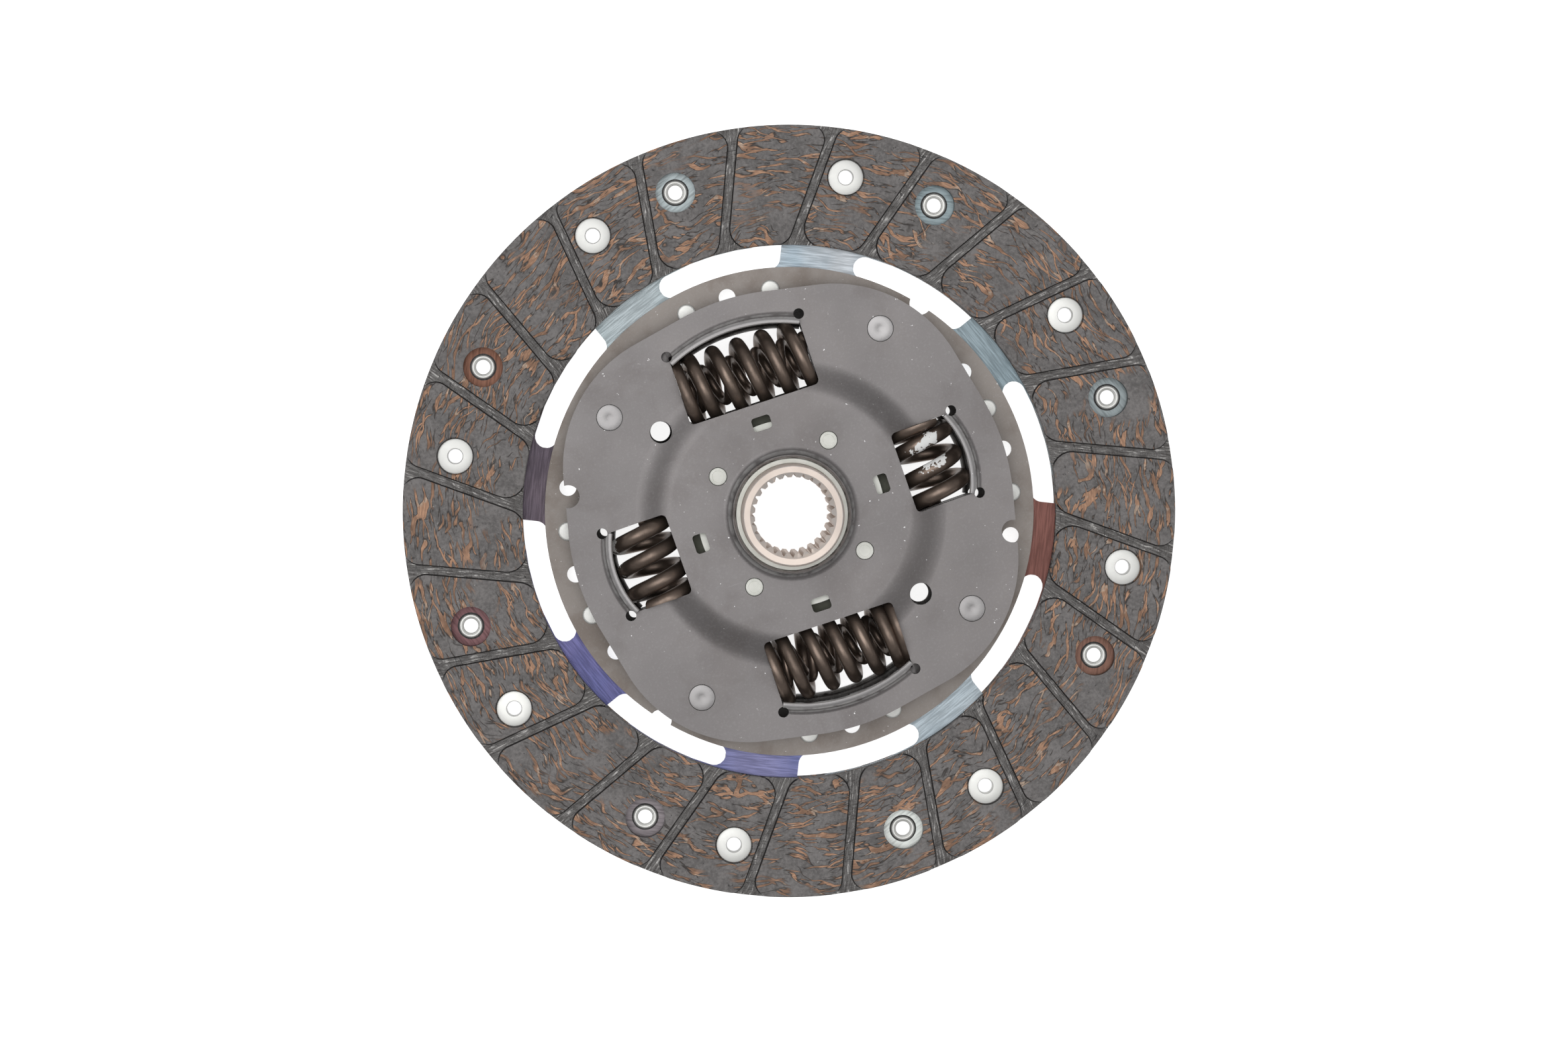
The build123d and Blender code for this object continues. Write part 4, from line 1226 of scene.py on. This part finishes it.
def cover_plate(settings):
    """The cover plate."""
    sheet = settings.thickness
    face = COVER_Z + sheet
    middle = face + settings.dish
    neck, bore = 16.0, 15.12
    root = 2.4
    top = middle + 5.5
    profile = [(80, face)] + dished(face, settings.dish)
    profile += arc(neck + root, middle + root, root, 270, 180, 8)
    profile += [(neck, top - 0.15), (neck - 0.15, top), (bore + 0.3, top), (bore, top - 0.3)]
    profile += [(bore, middle - sheet + 1.0), (bore + 1.0, middle - sheet)]
    profile += dished(COVER_Z, settings.dish)[::-1] + [(80, COVER_Z)]
    plate = turned("cover_plate", profile, 144)
    through = (0, 40)
    plate = combine(plate, slab("cutter", cover_outline(settings), *through), "INTERSECT")
    plate = cut_holes(plate, 3.1, spots(settings.cover_radius, COVER_NOTCHES), *through)
    plate = open_windows(plate, settings, True)
    plate = cut_holes(plate, 3.6, spots(PIN_CIRCLE_R, PIN_BEARINGS), *through)
    plate = cut_holes(plate, 3.0, spots(LOCATING_R, LOCATING_HOLES), *through)
    plate = cut_holes(plate, 2.52, spots(STUD_R, STUD_BEARINGS), *through)
    slot_r, half_l, half_w, corner = 25.6, 2.6, 1.9, 0.9
    corners = [(slot_r + x * half_w, y * half_l, corner) for x, y in ((-1, -1), (1, -1), (1, 1), (-1, 1))]
    slots = ring_of(slab("cutter", rounded(corners), *through), (0, 90, 180, 270), "cutter")
    plate = combine(plate, slots)
    return soften(plate, PLATE_EDGE, 2, 42)


class CLUTCH_OT_cover_plate(bpy.types.Operator):
    """Models the cover plate with its dish, neck, windows and lips"""

    bl_idname = "clutch.cover_plate"
    bl_label = "Cover plate"

    def execute(self, context):
        plate = cover_plate(context.scene.clutch_plates)
        finish(plate, cover_steel(), 32, True)
        place(plate, "cover_plate", "carrier", "plate_steel")
        return {"FINISHED"}


def drive_plate(settings):
    """The drive plate."""
    sheet = settings.thickness
    bore = 14.73
    profile = [(settings.rim_radius, DRIVE_Z)] + dished(DRIVE_Z, -settings.dish)
    profile += [(bore, DRIVE_Z - settings.dish), (bore, DRIVE_Z - settings.dish + sheet)]
    profile += dished(DRIVE_Z + sheet, -settings.dish)[::-1] + [(settings.rim_radius, DRIVE_Z + sheet)]
    plate = turned("drive_plate", profile, 144)
    plate = open_windows(plate, settings, False)
    through = (-2, 12)
    plate = cut_holes(plate, 2.3, spots(SEGMENT_RIVET_R, RIM_HOLES), *through, 40)
    plate = cut_holes(plate, 1.8, spots(SEGMENT_RIVET_R, SEGMENT_RIVETS), *through, 32)
    plate = cut_holes(plate, 3.54, spots(PIN_CIRCLE_R, PIN_BEARINGS), *through)
    plate = cut_holes(plate, 2.7, spots(LOCATING_R, LOCATING_HOLES), *through)
    floor = settings.rim_radius - 2.7
    notch = [(75, 3)] + arc(floor + 3, 0, 3, 90, 270, 16) + [(75, -3)]
    plate = combine(plate, ring_of(slab("cutter", notch, *through), RIM_NOTCHES, "cutter"))
    return soften(plate, PLATE_EDGE, 2, 42)


class CLUTCH_OT_drive_plate(bpy.types.Operator):
    """Models the drive plate that carries the segments"""

    bl_idname = "clutch.drive_plate"
    bl_label = "Drive plate"

    def execute(self, context):
        plate = drive_plate(context.scene.clutch_plates)
        finish(plate, rim_steel(), 32, True)
        place(plate, "drive_plate", "carrier", "plate_steel")
        return {"FINISHED"}


class CLUTCH_OT_stop_pins(bpy.types.Operator):
    """Models the four stop pins between the damper plates"""

    bl_idname = "clutch.stop_pins"
    bl_label = "Stop pins"

    def execute(self, context):
        top = COVER_Z + context.scene.clutch_plates.thickness + 0.3
        half = top - MIDDLE_Z
        inner = COVER_Z - MIDDLE_Z
        upper = [(0, half - 0.03), (0.9, half - 0.03), (1.0, half), (3.2, half - 0.02), (3.44, half - 0.1)]
        upper += [(3.5, half - 0.3), (3.5, inner + 0.6), (3.3, inner + 0.4), (3.3, inner), (4.2, inner)]
        profile = upper + [(r, -z) for r, z in reversed(upper)]
        pin = turned("stop_pin", profile, 40)
        pin = moved(pin, shift_by(PIN_CIRCLE_R, 0, MIDDLE_Z))
        pins = ring_of(pin, PIN_BEARINGS, "stop_pins")
        finish(pins, pin_steel(), 40)
        place(pins, "stop_pins", "carrier", "rivet_steel")
        return {"FINISHED"}


def toothed(tip_r, root_r, teeth, share):
    """A ring of straight-flanked teeth that stand inwards from the root circle."""
    flank = 30.0
    pitch = FULL_TURN / teeth
    tip_half = share * pitch / 2
    depth = root_r - tip_r
    root_half = tip_half * tip_r / root_r + depth * math.tan(math.radians(flank)) / root_r
    points = []
    for k in range(teeth):
        for radius, angle in (
            (root_r, k * pitch - root_half),
            (tip_r, k * pitch - tip_half),
            (tip_r, k * pitch + tip_half),
            (root_r, k * pitch + root_half),
        ):
            points.append((radius * math.cos(angle), radius * math.sin(angle)))
    return points


class CLUTCH_OT_hub(bpy.types.Operator):
    """Models the hub with its internal spline"""

    bl_idname = "clutch.hub"
    bl_label = "Hub"

    def execute(self, context):
        settings = context.scene.clutch_hub
        low, top = HUB_REAR_Z, HUB_REAR_Z + settings.length
        outer = settings.radius
        seat, shoulder = MIDDLE_Z - FLANGE_HALF, MIDDLE_Z + FLANGE_HALF
        profile = [(8, low), (outer - 0.7, low), (outer, low + 0.7), (outer, seat), (HUB_SEAT_R, seat)]
        profile += [(HUB_SEAT_R, shoulder), (18, shoulder), (18, shoulder + 1.6), (outer, shoulder + 1.6)]
        profile += [(outer, top - 1.4), (outer - 0.34, top - 0.3), (outer - 0.42, top - 0.1)]
        profile += [(outer - 0.55, top), (8, top)]
        hub = turned("hub", profile, 112)
        teeth = toothed(SPLINE_TIP_R, SPLINE_ROOT_R, settings.teeth, SPLINE_TOOTH_SHARE)
        hub = combine(hub, slab("cutter", teeth, 0, 40))
        for level, way in ((top, 1), (low, -1)):
            cone = [(0, level - way * 1.6), (10.0, level - way * 1.1), (11.6, level)]
            cone += [(11.9, level + way), (0, level + way)]
            hub = combine(hub, turned("cutter", cone, 112))
        soften(hub, 0.09, 2, 40)
        finish(hub, hub_steel(), 32)
        place(hub, "hub", "hub", "hub_steel")
        return {"FINISHED"}


class CLUTCH_OT_hub_flange(bpy.types.Operator):
    """Models the hub flange that the springs drive"""

    bl_idname = "clutch.hub_flange"
    bl_label = "Hub flange"

    def execute(self, context):
        low, high = MIDDLE_Z - FLANGE_HALF, MIDDLE_Z + FLANGE_HALF
        outline = []
        for k in range(360):
            off_y = min((k + 0.5 - 90) % 360, (k + 0.5 - 270) % 360)
            off_y = min(off_y, 360 - off_y)
            reach = FLANGE_LOBE_R if off_y < FLANGE_LOBE_HALF else FLANGE_R
            outline.append(tuple(polar(reach, k + 0.5).xy))
        flange = slab("hub_flange", outline, low, high)
        half, _, _, peak = LONG_WINDOW
        window = (half, SPRING_R - 10.8, SPRING_R + 10.8, peak + 0.4)
        for turn in (0, 180):
            flange = combine(flange, moved(window_cutter(window, 0, low - 1, high + 1), turn_by(turn)))
        half = SHORT_WINDOW[0]
        inner = SHORT_SPRING_R - 9.9
        slot = [(-half, inner), (half, inner), (half, 60), (-half, 60)]
        cutter = slab("cutter", slot, low - 1, high + 1)
        flange = combine(flange, ring_of(cutter, WINDOW_TURNS[2:], "cutter"))
        flange = cut_holes(flange, 3.6, spots(LOCATING_R, LOCATING_HOLES), low - 1, high + 1)
        flange = cut_holes(flange, HUB_SEAT_R, [(0, 0)], low - 1, high + 1, 112)
        edit(flange, "FACE")
        bpy.ops.mesh.bisect(plane_co=(0, 0, 0), plane_no=(1, 0, 0))
        close(flange)
        soften(flange, 0.3, 2, 40)
        finish(flange, plate_steel(), 32)
        place(flange, "hub_flange", "hub", "plate_steel")
        return {"FINISHED"}


def coil_place(crossings, turn):
    """How high the wire's middle lies after a number of turns, smoothed between its crossings."""
    last = len(crossings) - 1
    k = int(max(0, min(last - 1, math.floor(turn))))
    share = turn - k

    def slope(j):
        before, after = max(0, j - 1), min(last, j + 1)
        return (crossings[after] - crossings[before]) / (after - before)

    first, second = crossings[k], crossings[k + 1]
    if share < 0:
        return first + slope(0) * share * 0.8
    if share > 1:
        return second + slope(last) * (share - 1) * 0.8
    s2, s3 = share * share, share**3
    value = (2 * s3 - 3 * s2 + 1) * first + (s3 - 2 * s2 + share) * slope(k)
    return value + (3 * s2 - 2 * s3) * second + (s3 - s2) * slope(k + 1)


def coil(name, crossings, lead, tail, wire_r, coil_r, length, left=False, sides=18):
    """A coil spring along +Z about the origin. Crossings are the heights at which its wire passes +Y."""
    steps_per_turn = bpy.context.scene.clutch_springs.steps
    turns = lead + len(crossings) - 1 + tail
    steps = round(turns * steps_per_turn)
    section = [(x, 0, z) for x, z in arc(coil_r, 0, wire_r, 0, 360 - 360 / sides, sides - 1)]
    spring = trace(name, section)
    edit(spring, "FACE")
    bpy.ops.mesh.delete(type="ONLY_FACE")
    close(spring)
    way = -1 if left else 1
    apply_modifier(
        spring, "SCREW", axis="Z", angle=way * turns * FULL_TURN, screw_offset=0, steps=steps,
        render_steps=steps, use_merge_vertices=False,
    )
    for index, vertex in enumerate(spring.data.vertices):
        turn = index // sides * turns / steps - lead
        vertex.co.z += coil_place(crossings, turn) * MM
    edit(spring)
    bpy.ops.mesh.fill_holes(sides=0)
    for end in (-1, 1):
        bpy.ops.mesh.select_all(action="SELECT")
        bpy.ops.mesh.bisect(
            plane_co=(0, 0, end * length / 2 * MM), plane_no=(0, 0, end), use_fill=True, clear_outer=True
        )
    outwards(spring)
    return moved(spring, turn_by(90 - way * lead * 360))


def lay_spring(spring, radius, turn):
    """Lays a spring in its window: its +Z runs along the window and its +Y faces the front."""
    lie = Matrix(((0, 0, 1, 0), (1, 0, 0, 0), (0, 1, 0, 0), (0, 0, 0, 1)))
    return moved(spring, turn_by(turn) @ shift_by(0, radius, MIDDLE_Z) @ lie)


# Name, turn of its window, heights at which its wire passes the front, and the turns before and after them
SPRINGS = (
    ("long_spring_1", 0, (-16.8, -11.9, -4.8, 2.1, 9.1, 15.75), 0.3, 0.5),
    ("long_spring_2", 180, (-18.0, -14.7, -8.0, -1.5, 5.0, 12.1, 17.2), 0.3, 0.2),
    ("nested_spring_1", 0, (-17.0, -12.6, -4.9, 2.6, 10.2, 16.6), 0.2, 0.4),
    ("nested_spring_2", 180, (-15.6, -8.4, -0.8, 6.6, 14.1, 17.4), 0.6, 0.2),
    ("short_spring_1", 91.2, (-10.9, -5.6, 1.7, 8.3), 0.1, 0.5),
    ("short_spring_2", 271.2, (-11.0, -6.3, 1.4, 7.9), 0.1, 0.5),
)


class CLUTCH_OT_springs(bpy.types.Operator):
    """Models the six damper springs"""

    bl_idname = "clutch.springs"
    bl_label = "Springs"

    def execute(self, context):
        settings = context.scene.clutch_springs
        plain = wire_material("spring_wire", 0, (0, 0, 0))
        paints = {
            "short_spring_1": wire_material("painted_wire_1", 0.7, (-50, 6, 12)),
            "short_spring_2": wire_material("painted_wire_2", 1.0, (41, 4, 20)),
        }
        sizes = {
            "long": (1.85, 8.55, settings.long_length, False, SPRING_R),
            "nested": (1.3, 5.1, settings.long_length, True, SPRING_R),
            "short": (2.1, 7.4, settings.short_length, False, SHORT_SPRING_R),
        }
        for name, turn, crossings, lead, tail in SPRINGS:
            wire_r, coil_r, length, left, radius = sizes[name.split("_")[0]]
            spring = coil(name, crossings, lead, tail, wire_r, coil_r, length, left)
            lay_spring(spring, radius, turn)
            finish(spring, paints.get(name, plain), 45)
            place(spring, name, "springs", "spring_steel")
            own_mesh(spring)
        return {"FINISHED"}


class CLUTCH_OT_bushes(bpy.types.Operator):
    """Models the two plastic bushes on the hub"""

    bl_idname = "clutch.bushes"
    bl_label = "Bushes"

    def execute(self, context):
        settings = context.scene.clutch_plates
        middle = COVER_Z + settings.thickness + settings.dish
        under = middle - settings.thickness
        top = middle + 5.2
        bore = 13.78
        profile = [(bore, under - 1.5), (25.1, under - 1.5), (25.3, under - 1.3), (25.3, under)]
        profile += [(15.02, under), (15.02, top - 0.12), (14.9, top), (bore + 0.12, top)]
        profile += [(bore, top - 0.12)]
        bush = turned("front_bush", profile, 96)
        stud = [(0, middle + 0.1), (1.5, middle + 0.1), (1.62, middle + 0.2), (2.15, middle + 0.2)]
        stud += [(2.3, middle + 0.1), (2.34, middle - 0.1), (2.34, under - 0.3), (0, under - 0.3)]
        stud = moved(turned("stud", stud, 48), shift_by(STUD_R, 0, 0))
        studs = ring_of(stud, STUD_BEARINGS, "studs")
        bush = join([bush, studs], "front_bush")
        finish(bush, pale_plastic(), 35)
        place(bush, "front_bush", "carrier", "plastic")
        floor = DRIVE_Z - settings.dish
        step = floor + settings.thickness
        profile = [(bore, floor), (14.55, floor), (14.73, floor + 0.2), (14.73, step), (26, step)]
        profile += [(26, step + 1.8), (bore, step + 1.8)]
        bush = turned("rear_bush", profile, 96)
        finish(bush, pale_plastic(), 35)
        place(bush, "rear_bush", "carrier", "plastic")
        return {"FINISHED"}


class CLUTCH_OT_friction_stack(bpy.types.Operator):
    """Models the friction rings, washer and disc spring round the hub"""

    bl_idname = "clutch.friction_stack"
    bl_label = "Friction stack"

    def execute(self, context):
        settings = context.scene.clutch_plates
        flange_top = MIDDLE_Z + FLANGE_HALF + 0.05
        flange_low = MIDDLE_Z - FLANGE_HALF - 0.05
        rear_step = DRIVE_Z - settings.dish + settings.thickness + 1.8
        under = COVER_Z + settings.dish - 1.5
        ring_top = flange_top + 2.0
        washer_top = flange_top + 2.8
        for name, low, high, inner, outer, material, slot in (
            ("friction_ring", flange_top, ring_top, 19.0, 28.7, dark_liner(), "friction_liner"),
            ("rear_friction_ring", rear_step, flange_low, 19.0, 28.7, dark_liner(), "friction_liner"),
            ("support_washer", ring_top, washer_top, 18.4, 24.5, bright_steel(), "rivet_steel"),
        ):
            edge = 0.12
            profile = [(inner, low + edge), (inner + edge, low), (outer - edge, low), (outer, low + edge)]
            profile += [(outer, high - edge), (outer - edge, high), (inner + edge, high)]
            profile += [(inner, high - edge)]
            piece = turned(name, profile, 96)
            finish(piece, material, 50)
            place(piece, name, "carrier", slot)
        profile = [(18.6, under - 0.5), (18.6, under), (24.3, washer_top + 0.5), (24.3, washer_top)]
        piece = turned("disc_spring", profile, 96)
        finish(piece, tempered("temper_1", *TEMPERS[0], REAR_RIVETS[0]), 30)
        place(piece, "disc_spring", "carrier", "tempered_steel")
        return {"FINISHED"}


def floor_material(settings):
    """A pale floor that reads as white to the camera and keeps the object's shadow."""
    material, tree, shader, _ = new_material("pale_floor")
    shader.inputs["Base Color"].default_value = (*settings.floor_colour, 1)
    shader.inputs["Roughness"].default_value = 0.9
    path = node(tree, "ShaderNodeLightPath").outputs
    seen = largest(tree, [path[f"Is {kind} Ray"] for kind in ("Camera", "Glossy", "Transmission")])
    glow = node(tree, "ShaderNodeEmission", {"Color": (1, 1, 1, 1), "Strength": times(tree, seen, 0.8)})
    both = node(tree, "ShaderNodeAddShader", {0: shader.outputs["BSDF"], 1: glow.outputs[0]})
    tree.links.new(both.outputs[0], tree.nodes["Material Output"].inputs["Surface"])
    return material


class CLUTCH_OT_stage(bpy.types.Operator):
    """Sets up the floor, the lamps and the camera"""

    bl_idname = "clutch.stage"
    bl_label = "Stage"

    def execute(self, context):
        settings = context.scene.clutch_stage
        deselect()
        bpy.ops.mesh.primitive_plane_add(size=6)
        floor = context.object
        floor.name = "floor"
        floor.data.transform(shift_by(0, 0, -0.02))
        floor.data.materials.append(floor_material(settings))
        world = bpy.data.worlds.new("studio")
        world.use_nodes = True
        sky = world.node_tree.nodes["Background"].inputs
        sky["Color"].default_value = (1, 1, 1, 1)
        sky["Strength"].default_value = settings.world_strength
        context.scene.world = world
        context.scene.view_settings.view_transform = "Standard"
        for name, spot, size, share in (
            ("key_lamp", (-0.25, 0.35, 1.9), 1.7, 1.0),
            ("fill_lamp", (0.9, -0.5, 1.7), 0.8, 0.12),
        ):
            lamp = bpy.data.lights.new(name, "AREA")
            lamp.energy = settings.lamp_power * share
            lamp.size = size
            holder = bpy.data.objects.new(name, lamp)
            holder.location = spot
            holder.rotation_euler = Vector(spot).to_track_quat("Z", "Y").to_euler()
            context.scene.collection.objects.link(holder)
        camera = bpy.data.objects.new("camera", bpy.data.cameras.new("camera"))
        camera.data.lens = settings.lens
        camera.data.sensor_width = 36
        camera.data.sensor_fit = "HORIZONTAL"
        camera.data.clip_end = 20
        lean_y, lean_x = (math.radians(lean) for lean in CAMERA_LEANS)
        aside = Matrix.Rotation(lean_y, 4, "Y") @ Matrix.Rotation(lean_x, 4, "X")
        camera.matrix_world = turn_by(CAMERA_TURN) @ shift_by(*CAMERA_SPOT) @ aside
        context.scene.collection.objects.link(camera)
        context.scene.camera = camera
        return {"FINISHED"}


OPERATORS = (
    CLUTCH_OT_facings,
    CLUTCH_OT_facing_rivets,
    CLUTCH_OT_segments,
    CLUTCH_OT_segment_rivets,
    CLUTCH_OT_drive_plate,
    CLUTCH_OT_cover_plate,
    CLUTCH_OT_stop_pins,
    CLUTCH_OT_hub,
    CLUTCH_OT_hub_flange,
    CLUTCH_OT_springs,
    CLUTCH_OT_bushes,
    CLUTCH_OT_friction_stack,
    CLUTCH_OT_stage,
)


class CLUTCH_PT_panel(bpy.types.Panel):
    """Lists the settings and the pieces"""

    bl_label = "Clutch Disc"
    bl_idname = "CLUTCH_PT_panel"
    bl_space_type = "VIEW_3D"
    bl_region_type = "UI"
    bl_category = "Clutch Disc"

    def draw(self, context):
        layout = self.layout
        for attribute, group_class in SETTINGS:
            box = layout.box()
            group_settings = getattr(context.scene, attribute)
            for key in group_class.__annotations__:
                box.prop(group_settings, key)
        for operator in OPERATORS:
            layout.operator(operator.bl_idname)


SETTINGS = (
    ("clutch_facing", FacingSettings),
    ("clutch_plates", PlateSettings),
    ("clutch_springs", SpringSettings),
    ("clutch_hub", HubSettings),
    ("clutch_stage", StageSettings),
)


def register():
    """Registers the settings, the operators and the panel."""
    for attribute, group_class in SETTINGS:
        bpy.utils.register_class(group_class)
        setattr(bpy.types.Scene, attribute, bpy.props.PointerProperty(type=group_class))
    for operator in OPERATORS:
        bpy.utils.register_class(operator)
    bpy.utils.register_class(CLUTCH_PT_panel)


def unregister():
    """Removes what register added."""
    bpy.utils.unregister_class(CLUTCH_PT_panel)
    for operator in reversed(OPERATORS):
        bpy.utils.unregister_class(operator)
    for attribute, group_class in reversed(SETTINGS):
        delattr(bpy.types.Scene, attribute)
        bpy.utils.unregister_class(group_class)


def main():
    """Builds every piece and the stage."""
    register()
    for operator in OPERATORS:
        family, name = operator.bl_idname.split(".")
        getattr(getattr(bpy.ops, family), name)()


if __name__ == "__main__":
    main()
